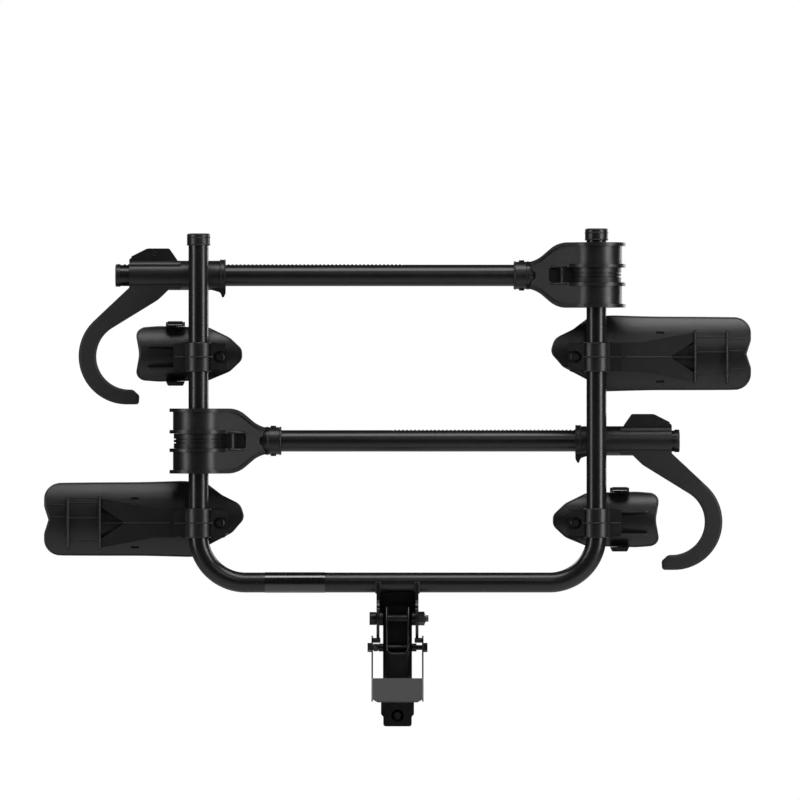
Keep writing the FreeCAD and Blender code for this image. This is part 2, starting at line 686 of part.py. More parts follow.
def yoke_side(half_h, neck, reach):
    """Silhouette seen from behind: a tall barrel that narrows in an S-curve to the collar."""
    wide = 2.0 * (BARREL_R + LIP)
    bend_at = COLLAR_START - NECK_BEND
    ring = [(-wide, -half_h, 0), (SHOULDER, -half_h, SHOULDER_ROUND), (bend_at, -neck, NECK_ROUND),
            (reach, -neck, 0), (reach, neck, 0), (bend_at, neck, NECK_ROUND),
            (SHOULDER, half_h, SHOULDER_ROUND), (-wide, half_h, 0)]
    return slab_xz(ring, -wide, wide)


def yoke_blank():
    """Core of the yoke with rims along its upper and lower edges."""
    half_h = YOKE_H / 2.0
    plan_core = yoke_plan(BARREL_R, COLLAR_START, COLLAR_START + 8.0, NECK_HALF, -half_h, half_h)
    core = plan_core.common(yoke_side(half_h - LIP_THICK, COLLAR_R - LIP_THICK - 1.0,
                                      COLLAR_START + 8.0))
    plan_rim = yoke_plan(BARREL_R + LIP, COLLAR_START, COLLAR_START + 8.0, NECK_HALF + 3.0, -half_h,
                         half_h)
    rim = plan_rim.common(yoke_side(half_h, COLLAR_R - 2.0, COLLAR_START + 8.0))
    rim = rim.cut(yoke_side(half_h - LIP_THICK, COLLAR_R - LIP_THICK - 2.0, COLLAR_START + 8.5))
    blank = core.fuse(rim)
    inner = HUB_H / 2.0
    for z in (inner, -inner - LIP_THICK):
        blank = blank.fuse(rod(BARREL_R + LIP, (0, 0, z), (0, 0, z + LIP_THICK)))
    return blank.fuse(rod(COLLAR_R, (COLLAR_START, ARM_Y, 0), (COLLAR_END, ARM_Y, 0)))


def neck_panel():
    """Sunk triangle on the neck's rear face, widest at the collar."""
    edge = ARM_Y - NECK_HALF
    front = tangent_point(COLLAR_START, edge, BARREL_R, -1)
    along = V(COLLAR_START - front[0], edge - front[1], 0)
    along.normalize()
    out = V(along.y, -along.x, 0) * YOKE_H
    sunk = V(-along.y, along.x, 0) * PANEL_DEPTH
    start = V(front[0], front[1], 0)
    end = V(COLLAR_START, edge, 0)
    plan = [(point.x, point.y, 0) for point in (start + out, end + out, end + sunk, start + sunk)]
    tip = COLLAR_START - PANEL_LEN
    triangle = [(tip, 0, 0), (COLLAR_START, -PANEL_HALF, 0), (COLLAR_START, PANEL_HALF, 0)]
    return slab_xy(plan, -PANEL_HALF, PANEL_HALF).common(slab_xz(triangle, -YOKE_H, YOKE_H))


def hub_pocket():
    """Room for the fixed hub and for its ear as the yoke swings."""
    half = HUB_H / 2.0
    r = HUB_H / 3.0
    ring = [(0, -half, 0), (EAR_SWEEP, -half, r), (EAR_SWEEP, half, r), (0, half, 0)]
    wire = rounded_wire(ring, lambda a, b: V(a, 0, b))
    sweep = Part.Face(wire).revolve(V(0, 0, 0), V(0, 0, 1), 360)
    far = 2.0 * EAR_SWEEP
    sweep = sweep.common(box(-far, far, -far, POCKET_BACK, -half, half))
    ring_room = rod(BARREL_R + LIP + 1.0, (0, 0, -half), (0, 0, half))
    return sweep.fuse(ring_room)


def yoke():
    """Forked arm bracket that swings round the upright above and below the hub."""
    body = yoke_blank()
    body = body.cut(hub_pocket())
    body = body.cut(rod(TUBE_R + FIT, (0, 0, -YOKE_H), (0, 0, YOKE_H)))
    body = body.cut(rod(ARM_R, (ARM_START, ARM_Y, 0), (COLLAR_END + 1, ARM_Y, 0)))
    body = body.cut(neck_panel())
    x = COLLAR_END - SCREW_FROM_END
    body = body.cut(rod(SCREW_R, (x, ARM_Y, -COLLAR_R - 1), (x, ARM_Y, COLLAR_R + 1)))
    return single(moved(body, AXIS_X, FRAME_Y, ARM_Z))


def collar_screws():
    """Screws through the collar into the arm, above and below."""
    x = AXIS_X + COLLAR_END - SCREW_FROM_END
    screws = []
    for up in (1, -1):
        tip = ARM_Z + up * (ARM_R - ARM_WALL)
        seat = ARM_Z + up * COLLAR_R
        shank = rod(SCREW_R, (x, ARM_AXIS_Y, tip), (x, ARM_AXIS_Y, seat))
        head = rod(SCREW_HEAD_R, (x, ARM_AXIS_Y, seat), (x, ARM_AXIS_Y, seat + up * SCREW_HEAD))
        screws.append(shank.fuse(head))
    return screws


def hub():
    """Split clamp fixed on the upright between the yoke's barrels, with a bolted ear."""
    half = HUB_H / 2.0 - GAP
    ring = rod(HUB_R, (0, 0, -half), (0, 0, half))
    for z in (HUB_GROOVE_AT, -HUB_GROOVE_AT):
        low = z - HUB_GROOVE / 2.0
        cut = pipe(HUB_R + 1, HUB_R - 4.0, (0, 0, low), (0, 0, low + HUB_GROOVE))
        ring = ring.cut(cut)
    thick = HUB_EAR_T / 2.0
    ear = box(HUB_R - 12.0, HUB_EAR - thick, -thick, thick, -half, half)
    ear = ear.fuse(rod(thick, (HUB_EAR - thick, 0, -half), (HUB_EAR - thick, 0, half)))
    body = ring.fuse(ear)
    body = body.cut(rod(TUBE_R, (0, 0, -half - 1), (0, 0, half + 1)))
    body = body.cut(rod(PEDAL_BOLT_R, (HUB_EAR - thick, 0, -half - 1), (HUB_EAR - thick, 0, half + 1)))
    body = body.cut(box(TUBE_R - 2.0, HUB_EAR + 1, -0.75, 0.75, -half - 1, half + 1))
    return single(moved(body, AXIS_X, FRAME_Y, ARM_Z))


def hub_bolt():
    """Clamp bolt through the hub's ear, flush with both of its faces."""
    half = HUB_H / 2.0 - GAP
    x = AXIS_X + HUB_EAR - HUB_EAR_T / 2.0
    return rod(PEDAL_BOLT_R, (x, FRAME_Y, ARM_Z - half), (x, FRAME_Y, ARM_Z + half))


# ---- arm --------------------------------------------------------------------------------
def arm_tube():
    """Straight tube with a flat along its top for the rack."""
    x0 = AXIS_X + ARM_START
    tube = pipe(ARM_R, ARM_R - ARM_WALL, (x0, ARM_AXIS_Y, ARM_Z), (ARM_END_X, ARM_AXIS_Y, ARM_Z))
    half = RACK_W / 2.0
    tube = tube.cut(box(RACK_START_X, ARM_END_X, ARM_AXIS_Y - half, ARM_AXIS_Y + half,
                        ARM_Z + RACK_FLAT, ARM_Z + ARM_R + 1))
    bolt_x = AXIS_X + COLLAR_END - SCREW_FROM_END
    return tube.cut(rod(SCREW_R, (bolt_x, ARM_AXIS_Y, ARM_Z - ARM_R - 1),
                        (bolt_x, ARM_AXIS_Y, ARM_Z + ARM_R + 1)))


def rack():
    """Toothed strip along the top of the arm; the pawl climbs its slopes outwards."""
    count = int((ARM_END_X - RACK_START_X) / TOOTH_PITCH)
    root = RACK_TIP - TOOTH_H
    points = [V(RACK_START_X, 0, RACK_FLAT)]
    for i in range(count):
        x = RACK_START_X + i * TOOTH_PITCH
        points.append(V(x, 0, root))
        points.append(V(x + TOOTH_PITCH * TOOTH_RISE, 0, RACK_TIP))
        points.append(V(x + TOOTH_PITCH * TOOTH_CREST, 0, RACK_TIP))
    end = RACK_START_X + count * TOOTH_PITCH
    points.append(V(end, 0, root))
    points.append(V(end, 0, RACK_FLAT))
    points.append(points[0])
    strip = Part.Face(Part.makePolygon(points)).extrude(V(0, RACK_W, 0))
    return moved(strip, 0, ARM_AXIS_Y - RACK_W / 2.0, ARM_Z)


def arm_plug():
    """End plug that stops the slider."""
    cap = rod(PLUG_R, (ARM_END_X, ARM_AXIS_Y, ARM_Z), (ARM_END_X + PLUG_CAP, ARM_AXIS_Y, ARM_Z))
    rim = [e for e in cap.Edges if e.BoundBox.XMin > ARM_END_X + PLUG_CAP - 0.01]
    cap = cap.makeFillet(2.5, rim)
    half = RACK_W / 2.0
    core = rod(ARM_R - ARM_WALL - 1.5, (ARM_END_X - PLUG_LEN, ARM_AXIS_Y, ARM_Z),
               (ARM_END_X, ARM_AXIS_Y, ARM_Z))
    core = core.cut(box(ARM_END_X - PLUG_LEN - 1, ARM_END_X, ARM_AXIS_Y - half, ARM_AXIS_Y + half,
                        ARM_Z + RACK_FLAT - GAP, ARM_Z + ARM_R))
    return cap.fuse(core)


# ---- slider -----------------------------------------------------------------------------
def slider():
    """Sleeve on the arm with a flange, a finger tab and the hook's root."""
    y, z = ARM_AXIS_Y, ARM_Z
    sleeve = rod(SLEEVE_R, (SLEEVE_X, y, z), (SLEEVE_END_X, y, z))
    flange = rod(SLEEVE_FLANGE_R, (SLEEVE_X, y, z), (SLEEVE_X + SLEEVE_FLANGE, y, z))
    low = z - TAB_DROP
    tab = slab_xz([(SLEEVE_X, z, 0), (SLEEVE_X, low + 8.0, 12.0), (SLEEVE_X + 4.0, low, 1.5),
                   (SLEEVE_X + 7.0, low, 1.0),
                   (SLEEVE_X + 10.0, z - SLEEVE_R - 5.0, 9.0),
                   (SLEEVE_X + TAB_LEN, z - SLEEVE_R + 1.0, 4.0),
                   (SLEEVE_X + TAB_LEN, z, 0)], y - TAB_W / 2, y + TAB_W / 2)
    root = slab_yz([(y - ROOT_HALF_Y, z - SLEEVE_R, ROOT_ROUND),
                    (y + ROOT_HALF_Y, z - SLEEVE_R, ROOT_ROUND),
                    (y + ROOT_HALF_Y, z + SLEEVE_R, ROOT_ROUND),
                    (y - ROOT_HALF_Y, z + SLEEVE_R, ROOT_ROUND)],
                   ROOT_X, SLEEVE_END_X)
    body = sleeve.fuse(flange).fuse(tab).fuse(root)
    body = body.cut(rod(ARM_R + SLIDE_GAP, (SLEEVE_X - 1, y, z), (SLEEVE_END_X + 1, y, z)))
    half = RACK_W / 2.0 + RACK_SLOT_GAP
    body = body.cut(box(SLEEVE_X - 1, SLEEVE_END_X + 1, y - half, y + half, z,
                        z + RACK_TIP + RACK_SLOT_GAP))
    body = body.cut(box(HOUSING_IN + HOUSING_WALL, HOUSING_TOP_IN + 22.0, y - half, y + half, z,
                        z + SLEEVE_R + 1))
    seat = box(HOUSING_IN, SLEEVE_END_X + 1, y - HOUSING_HALF_Y, y + HOUSING_HALF_Y, z + HOUSING_BASE,
               z + SLEEVE_R + 1)
    body = body.cut(seat)
    body = body.cut(hook_blank())
    return single(body)


def hook_corner(x, drop, bottom, angle):
    """Where a slope that starts at (x, drop) meets the level of the bowl's lowest line."""
    return SLEEVE_END_X + x + (bottom - drop) / math.tan(math.radians(angle))


def hook_plate(half_y):
    """Curved hook seen from behind, with its root inside the slider; heights from the arm's axis."""
    start = -ARM_R - 1.5
    inner_drop = HOOK_DROP - HOOK_THICK
    outer = hook_corner(HOOK_OUTER, -start, HOOK_DROP, HOOK_OUT_ANGLE)
    inner = hook_corner(HOOK_KNEE[0], HOOK_KNEE[1], inner_drop, HOOK_IN_ANGLE)
    end = SLEEVE_END_X
    tip = end + HOOK_TIP
    turn = HOOK_TIP_ROUND
    ring = [(end + HOOK_INNER, start, 0), (end + HOOK_OUTER, start, 0), (outer, -HOOK_DROP, HOOK_OUT_R),
            (tip, -HOOK_DROP, 6.0), (tip - 1.0, -inner_drop - turn, 6.0),
            (tip + turn, -inner_drop, turn),
            (inner, -inner_drop, HOOK_BOWL_R), (end + HOOK_KNEE[0], -HOOK_KNEE[1], HOOK_KNEE_R)]
    return slab_xz(ring, -half_y, half_y)


def hook_blank():
    """The hook's plate and the taper from its thick root."""
    thick, thin = HOOK_ROOT_HALF_Y, HOOK_HALF_Y
    top = -ARM_R
    low = top - HOOK_TAPER
    side = slab_yz([(-thick, top, 0), (thick, top, 0), (thick, -SLEEVE_R - 4.0, 14.0),
                    (thin, low, 40.0),
                    (thin, low - 20.0, 0), (-thin, low - 20.0, 0), (-thin, low, 40.0),
                    (-thick, -SLEEVE_R - 4.0, 14.0)],
                   ROOT_X, SLEEVE_END_X + HOOK_DROP)
    root = hook_plate(thick).common(side)
    return moved(hook_plate(thin).fuse(root), 0, ARM_AXIS_Y, ARM_Z)


def hook():
    """The hook with the long edges of its bowl rounded."""
    plate = hook_plate(HOOK_HALF_Y)
    edges = []
    for face in plate.Faces:
        if face.BoundBox.YLength < 0.01:
            edges.extend([e for e in face.Edges if e.BoundBox.ZMin < -ARM_R - 2.0])
    plate = moved(plate.makeFillet(HOOK_ROUND, edges), 0, ARM_AXIS_Y, ARM_Z)
    keep = ARM_Z - ARM_R - HOOK_TAPER
    far = 2.0 * SLEEVE_END_X
    upper = hook_blank().common(box(0, far, ARM_AXIS_Y - 40, ARM_AXIS_Y + 40, keep, ARM_Z))
    return single(plate.fuse(upper))


def housing():
    """Cover of the ratchet: two cheeks and a roof that falls to the release lever."""
    y, z = ARM_AXIS_Y, ARM_Z
    ring = [(HOUSING_IN, HOUSING_BASE, 0), (SLEEVE_END_X, HOUSING_BASE, 0),
            (SLEEVE_END_X, HOUSING_END_TOP - 8.0, 2.0),
            (SLEEVE_END_X - 6.0, HOUSING_END_TOP - 3.0, 3.0), (LEVER_PIN_X + 14.0, HOUSING_TOP, 8.0),
            (HOUSING_TOP_IN, HOUSING_TOP, 5.0), (HOUSING_IN, SLEEVE_R + 1.5, 3.0)]
    body = slab_xz([(a, b + z, r) for a, b, r in ring], y - HOUSING_HALF_Y, y + HOUSING_HALF_Y)
    inside = HOUSING_HALF_Y - HOUSING_WALL
    top = HOUSING_TOP - HOUSING_WALL
    room = [(HOUSING_IN + HOUSING_WALL, HOUSING_BASE, 0), (SLEEVE_END_X + 1, HOUSING_BASE, 0),
            (SLEEVE_END_X + 1, HOUSING_TOP + 5, 0), (LEVER_PIN_X + 4.0, HOUSING_TOP + 5, 0),
            (LEVER_PIN_X + 4.0, top, 0), (HOUSING_TOP_IN, top, 3.0),
            (HOUSING_IN + HOUSING_WALL, SLEEVE_R + 1.0, 3.0)]
    body = body.cut(slab_xz([(a, b + z, r) for a, b, r in room], y - inside, y + inside))
    pin = rod(LEVER_PIN_R, (LEVER_PIN_X, y - HOUSING_HALF_Y - 1, z + LEVER_PIN_Z),
              (LEVER_PIN_X, y + HOUSING_HALF_Y + 1, z + LEVER_PIN_Z))
    return single(body.cut(pin))


def lever_pin():
    """Pin across the housing that the release lever turns on."""
    y, z = ARM_AXIS_Y, ARM_Z + LEVER_PIN_Z
    return rod(LEVER_PIN_R, (LEVER_PIN_X, y - HOUSING_HALF_Y, z), (LEVER_PIN_X, y + HOUSING_HALF_Y, z))


def release_lever():
    """Thumb lever whose nose is the pawl over the rack."""
    y, z = ARM_AXIS_Y, ARM_Z
    px, pz = LEVER_PIN_X, LEVER_PIN_Z
    tip = RACK_TIP + 2 * GAP
    ring = [(PAWL_X - 4.0, tip, 0), (PAWL_X + 2.0, tip, 0), (px - 6.0, pz - 9.0, 6.0),
            (px + 8.0, pz - 7.0, 4.0),
            (SLEEVE_END_X - 4.0, HOUSING_END_TOP - 7.0, 1.5),
            (SLEEVE_END_X - 4.0, HOUSING_END_TOP - 2.0, 2.0),
            (px + 16.0, HOUSING_TOP - 0.5, 6.0), (px + 6.0, HOUSING_TOP - 0.5, 1.0),
            (px + 5.0, pz + 4.0, 3.0),
            (px - 8.0, pz + 4.0, 4.0), (PAWL_X - 4.0, pz - 5.0, 3.0)]
    half = HOUSING_HALF_Y - HOUSING_WALL - GAP
    thumb = slab_xz([(a, b + z, r) for a, b, r in ring], y - half, y + half)
    narrow = RACK_W / 2.0
    for side in (-1, 1):
        y0, y1 = sorted((y + side * narrow, y + side * (half + 1)))
        thumb = thumb.cut(box(PAWL_X - 10, PAWL_X + 12.0, y0, y1, z, z + pz - 8.0))
    bore = rod(LEVER_PIN_R + FIT, (px, y - half - 1, z + pz), (px, y + half + 1, z + pz))
    return single(thumb.cut(bore))


# ---- wheel trays: drawn for the lower level, heights counted from the clamp's centre ----
FLOOR_Y = FRAME_Y + TRAY_FLOOR
RIM_Y = FLOOR_Y + TRAY_DEPTH


def trough_radius(half, depth):
    """Radius of the trough's section from its half width and depth."""
    return (half ** 2 + depth ** 2) / (2.0 * depth)


def trough(outline, half):
    """Curved wall cut to an outline seen from behind."""
    radius = trough_radius(half, TRAY_DEPTH)
    centre_y = FLOOR_Y + radius
    xs = [p[0] for p in outline]
    start, end = min(xs) - 5.0, max(xs) + 5.0
    outer = rod(radius, (start, centre_y, TRAY_UP), (end, centre_y, TRAY_UP))
    shell = outer.cut(rod(radius - TRAY_WALL, (start, centre_y, TRAY_UP), (end, centre_y, TRAY_UP)))
    rim = RIM_Y
    band = shell.common(box(start, end, FRAME_Y, rim, -radius, radius))
    return band.common(slab_xz(outline, FRAME_Y - 1.0, rim + 1.0))


def trough_room(half, x0, x1):
    """Everything above the trough's wall, used to trim what stands under it."""
    radius = trough_radius(half, TRAY_DEPTH)
    centre_y = FLOOR_Y + radius
    return rod(radius - TRAY_WALL / 2.0, (x0, centre_y, TRAY_UP), (x1, centre_y, TRAY_UP))


def saddle(at_x, half, sign):
    """Block under the trough that seats on the upright; sign points outboard."""
    y0 = FRAME_Y + CLAMP_SPLIT
    y1 = FLOOR_Y + TRAY_WALL + 2.0
    ends = sorted((at_x + sign * (CLAMP_OUT - 2.0), at_x - sign * (CLAMP_IN - 4.0)))
    block = box(ends[0], ends[1], y0, y1, -SADDLE_HALF_Z, SADDLE_HALF_Z)
    block = block.cut(trough_room(half, ends[0] - 1, ends[1] + 1))
    block = block.cut(rod(TUBE_R, (at_x, FRAME_Y, -SADDLE_HALF_Z - 1),
                          (at_x, FRAME_Y, SADDLE_HALF_Z + 1)))
    bolt_x = at_x - sign * CLAMP_BOLT_AT
    return block.cut(rod(CLAMP_BOLT_R, (bolt_x, FRAME_Y - 1, 0), (bolt_x, y1 + 5, 0)))


def long_outline():
    """Long tray seen from behind: two-lobed outboard end, rounded nose inboard."""
    up = TRAY_UP
    low, high = up - LONG_HALF + 3.0, up + LONG_HALF
    out, nose, shoulder = -LONG_OUT_X, -LONG_IN_X, -LONG_SHOULDER_X
    taper = shoulder - LONG_TAPER
    lobe = LONG_NOTCH_HALF
    return [(out, low + 4.0, 30.0), (out, up - lobe, 14.0), (out + LONG_END_NOTCH, up, 8.0),
            (out, up + lobe, 14.0),
            (out, high - 5.0, 30.0), (taper, high, 80.0), (shoulder + 8.0, high - 3.0, 30.0),
            (nose - 44.0, up + 48.0, 30.0), (nose - 8.0, up + 30.0, 22.0), (nose, up + 4.0, 16.0),
            (nose - 24.0, up - 24.0, 22.0), (nose - 76.0, up - 52.0, 30.0),
            (shoulder - 10.0, low, 22.0)]


def keel():
    """Keel under the long trough: it widens outboard and ends in a fork round a thin web."""
    start, bend_x, end = AXIS_X - CLAMP_OUT + 4.0, -KEEL_BEND_X, -KEEL_OUT_X
    front = RIM_Y
    body = slab_xz([(start, -KEEL_HALF_IN, 0), (start, KEEL_HALF_IN, 0), (bend_x, KEEL_HALF_IN, 60.0),
                    (end, KEEL_HALF_OUT, 4.0), (end, -KEEL_HALF_OUT, 4.0),
                    (bend_x, -KEEL_HALF_IN, 60.0)],
                   FRAME_Y - TUBE_R, front)
    slope = slab_xy([(start, FRAME_Y + 2.0, 0), (start, front, 0), (end - 1.0, front, 0),
                     (end - 1.0, FLOOR_Y - 7.0, 0)], -LONG_HALF, LONG_HALF)
    body = body.common(slope)
    web = FORK_WEB / 2.0
    for up in (1, -1):
        pocket = slab_xz([(end + FORK_LEN, up * web, 0), (end - 5.0, up * web, 0),
                          (end - 5.0, up * FORK_HALF, 0)],
                         FRAME_Y - TUBE_R, front)
        body = body.cut(pocket)
    return body.cut(trough_room(LONG_HALF, end - 5.0, start + 5.0))


def long_tray():
    """Long wheel tray on the left upright, with keel, ribs and saddle in one moulding."""
    body = trough(long_outline(), LONG_HALF).fuse(keel())
    floor = FLOOR_Y
    for x in LONG_RIBS:
        rib = box(-x - RIB_THICK / 2, -x + RIB_THICK / 2, floor - RIB_DEPTH, floor + TRAY_DEPTH,
                  -RIB_HALF, RIB_HALF)
        body = body.fuse(rib.cut(trough_room(LONG_HALF, -x - 10, -x + 10)))
    body = body.fuse(saddle(AXIS_X, LONG_HALF, -1))
    for up in (1, -1):
        z0, z1 = sorted((up * SLOT_Z, up * (SLOT_Z + SLOT_W)))
        body = body.cut(box(-SLOT_X - SLOT_LEN / 2, -SLOT_X + SLOT_LEN / 2, floor - 2.0,
                            floor + TRAY_DEPTH, z0, z1))
    return trimmed_tray(body, AXIS_X, -1)


def short_outline():
    """Short cradle seen from behind: hollow outboard end, rounded nose inboard."""
    up = TRAY_UP
    low, high = up - SHORT_HALF + 1.0, up + SHORT_HALF
    out, nose, shoulder = SHORT_OUT_X, SHORT_IN_X, SHORT_SHOULDER_X
    taper = out - SHORT_TAPER
    return [(out, low + 4.0, 16.0), (out - SHORT_END_HOLLOW, up, 60.0), (out, high - 4.0, 16.0),
            (taper, high, 40.0),
            (shoulder, high - 1.0, 36.0), (nose + 24.0, up + 32.0, 30.0), (nose, up + 9.0, 16.0),
            (nose, up - 11.0, 16.0), (nose + 24.0, up - 34.0, 30.0), (shoulder, low + 1.0, 36.0),
            (taper, low, 40.0)]


def short_tray():
    """Short front-wheel cradle on the right upright, with its saddle."""
    body = trough(short_outline(), SHORT_HALF)
    body = body.fuse(saddle(UPRIGHT_X, SHORT_HALF, 1))
    x0 = UPRIGHT_X + CLAMP_OUT - 6.0
    x1 = SHORT_OUT_X - 26.0
    front = RIM_Y
    for z in (-SADDLE_HALF_Z + 4.0, SADDLE_HALF_Z - 4.0):
        fin = slab_xy([(x0, FRAME_Y + 8.0, 3.0), (x0, front, 0), (x1, front, 0),
                       (x1, FLOOR_Y - 4.0, 3.0)], z - RIB_THICK / 2, z + RIB_THICK / 2)
        body = body.fuse(fin.cut(trough_room(SHORT_HALF, x0 - 5, x1 + 5)))
    return trimmed_tray(body, UPRIGHT_X, 1)


def trimmed_tray(body, at_x, sign):
    """Cuts that every tray has: the upright and the clamp bolt."""
    reach = 2.0 * LONG_HALF
    body = body.cut(rod(TUBE_R, (at_x, FRAME_Y, -reach), (at_x, FRAME_Y, reach)))
    bolt_x = at_x - sign * CLAMP_BOLT_AT
    return single(body.cut(rod(CLAMP_BOLT_R, (bolt_x, FRAME_Y - TUBE_R, 0),
                               (bolt_x, FRAME_Y + LONG_HALF, 0))))


def clamp_jaws(at_x, sign):
    """Raised block round the clamp bolt, with a slot that is open inboard."""
    h = JAW_HALF
    start, end = at_x - sign * JAW_START, at_x - sign * CLAMP_IN
    corner = end + sign * 6.0
    ring = [(start, -h, 0), (start, h, 0), (corner, h, 6.0), (end, h - 10.0, 4.0), (end, 10.0 - h, 4.0),
            (corner, -h, 6.0)]
    front = FRAME_Y - JAW_DEPTH
    block = slab_xz(ring, front, FRAME_Y - 1.0)
    seat = FRAME_Y - SEAT_DEPTH
    bolt_x = at_x - sign * CLAMP_BOLT_AT
    block = block.cut(rod(JAW_SLOT, (bolt_x, front - 1.0, 0), (bolt_x, seat, 0)))
    x0, x1 = sorted((bolt_x, end - sign * 1.0))
    return block.cut(box(x0, x1, front - 1.0, seat, -JAW_SLOT, JAW_SLOT))


def clamp_cap(at_x, sign):
    """Cap that wraps the rear of the upright and bolts to the saddle; sign points outboard."""
    h = CLAMP_HALF_Z
    wide = CLAMP_R + 2.0
    out, inn = at_x + sign * CLAMP_OUT, at_x - sign * CLAMP_IN
    ring = [(out, -h + 6.0, 4.0), (out, h - 6.0, 4.0), (at_x + sign * wide, h, 8.0),
            (at_x - sign * wide, h, 8.0),
            (inn, h - CLAMP_TAPER, 6.0), (inn, -h + CLAMP_TAPER, 6.0), (at_x - sign * wide, -h, 8.0),
            (at_x + sign * wide, -h, 8.0)]
    ears = slab_xz(ring, FRAME_Y - SEAT_DEPTH, FRAME_Y)
    half_space = box(at_x - 2 * wide, at_x + 2 * wide, FRAME_Y - 2 * wide, FRAME_Y, -h, h)
    wrap = rod(CLAMP_R, (at_x, FRAME_Y, -h), (at_x, FRAME_Y, h)).common(half_space)
    rims = [e for e in wrap.Edges if e.Curve.TypeId == "Part::GeomCircle"]
    wrap = wrap.makeFillet(2.5, rims)
    bead = pipe(wide, CLAMP_R - 2, (at_x, FRAME_Y, -1.8), (at_x, FRAME_Y, 1.8)).common(half_space)
    body = ears.fuse(wrap).fuse(bead).fuse(clamp_jaws(at_x, sign))
    body = body.cut(rod(TUBE_R, (at_x, FRAME_Y, -h - 1), (at_x, FRAME_Y, h + 1)))
    bolt_x = at_x - sign * CLAMP_BOLT_AT
    body = body.cut(rod(CLAMP_BOLT_R, (bolt_x, FRAME_Y - 2 * wide, 0), (bolt_x, FRAME_Y + 1, 0)))
    return single(body)


def clamp_bolt(at_x, sign):
    """Hexagon bolt through the cap into the saddle."""
    x = at_x - sign * CLAMP_BOLT_AT
    seat = FRAME_Y - SEAT_DEPTH
    shank = rod(CLAMP_BOLT_R, (x, seat, 0), (x, FLOOR_Y, 0))
    return shank.fuse(hexagon(CLAMP_HEX, (x, seat - CLAMP_HEAD, 0), (x, seat, 0)))


# ---- wheel strap ------------------------------------------------------------------------
def strap_frame():
    """Radius, centre and rim angle of the short cradle's inner surface."""
    radius = trough_radius(SHORT_HALF, TRAY_DEPTH) - TRAY_WALL
    centre_y = FLOOR_Y + TRAY_WALL + radius
    return radius, centre_y


def strap():
    """Toothed strap that lies in the empty cradle, from rim to rim."""
    radius, centre_y = strap_frame()
    band = pipe(radius - GAP, radius - GAP - STRAP_T, (STRAP_X - STRAP_W / 2, centre_y, TRAY_UP),
                (STRAP_X + STRAP_W / 2, centre_y, TRAY_UP))
    rim = RIM_Y
    return single(band.common(box(0, SHORT_OUT_X, FRAME_Y, rim, -LONG_HALF, LONG_HALF)))


def rim_face(up):
    """Height of the cradle's long edge, above (1) or below (-1) its middle."""
    return TRAY_UP + up * SHORT_HALF + (1.0 if up < 0 else 0.0)


def strap_anchor():
    """Block that holds the strap's end on the lower edge of the cradle."""
    z = rim_face(-1)
    y1 = RIM_Y
    ring = [(STRAP_X - BUCKLE_W / 2, z, 0), (STRAP_X + BUCKLE_W / 2, z, 0),
            (STRAP_X + BUCKLE_W / 2 - 4.0, z - BUCKLE_T, 3.0),
            (STRAP_X - BUCKLE_W / 2 + 4.0, z - BUCKLE_T, 3.0)]
    return slab_xz(ring, y1 - BUCKLE_H, y1)


def buckle_base():
    """Ratchet buckle's body on the upper edge of the cradle, with two ears for its pin."""
    z = rim_face(1)
    y1 = RIM_Y
    half = BUCKLE_W / 2
    floor = box(STRAP_X - half, STRAP_X + half, y1 - BUCKLE_H, y1, z, z + 3.0)
    ears = []
    for x in (STRAP_X - half, STRAP_X + half - 4.0):
        ear = slab_yz([(y1 - BUCKLE_H, z, 0), (y1, z, 0), (y1, z + BUCKLE_T, 3.0),
                       (y1 - 8.0, z + BUCKLE_T, 3.0),
                       (y1 - BUCKLE_H, z + 4.0, 2.0)], x, x + 4.0)
        ears.append(ear)
    body = floor.fuse(ears[0]).fuse(ears[1])
    return body.cut(rod(BUCKLE_PIN_R, (STRAP_X - half - 1, y1 - 6.0, z + 6.0),
                        (STRAP_X + half + 1, y1 - 6.0, z + 6.0)))


def buckle_pin():
    """Pin of the buckle's lever."""
    z = rim_face(1) + 6.0
    y = RIM_Y - 6.0
    return rod(BUCKLE_PIN_R, (STRAP_X - BUCKLE_W / 2, y, z), (STRAP_X + BUCKLE_W / 2, y, z))


def buckle_lever():
    """Lever that works the ratchet; it lies flat on the buckle and lifts away from it."""
    z = rim_face(1) + 6.0
    y = RIM_Y - 6.0
    half = BUCKLE_W / 2 - 4.0 - GAP
    r = BUCKLE_LEVER_T / 2
    ring = [(y - BUCKLE_LEVER_L, z - r + 1.0, 1.0), (y + r, z - r, r - 0.1), (y + r, z + r, r - 0.1),
            (y - BUCKLE_LEVER_L, z + r + 2.0, 1.5)]
    body = slab_yz(ring, STRAP_X - half, STRAP_X + half)
    return body.cut(rod(BUCKLE_PIN_R + FIT, (STRAP_X - half - 1, y, z), (STRAP_X + half + 1, y, z)))


# ---- build ------------------------------------------------------------------------------
ON_SLIDER = ("slider", "hook", "ratchet_housing", "lever_pin", "release_lever")


def on_level(shape, level, outwards=0.0):
    """Put a piece drawn for the lower level on its level; the upper one is the mirror image."""
    placed = moved(shape, x=outwards)
    if level:
        placed = mirrored(placed)
    return moved(placed, z=FIRST_TRAY_Z + level * BIKE_PITCH)


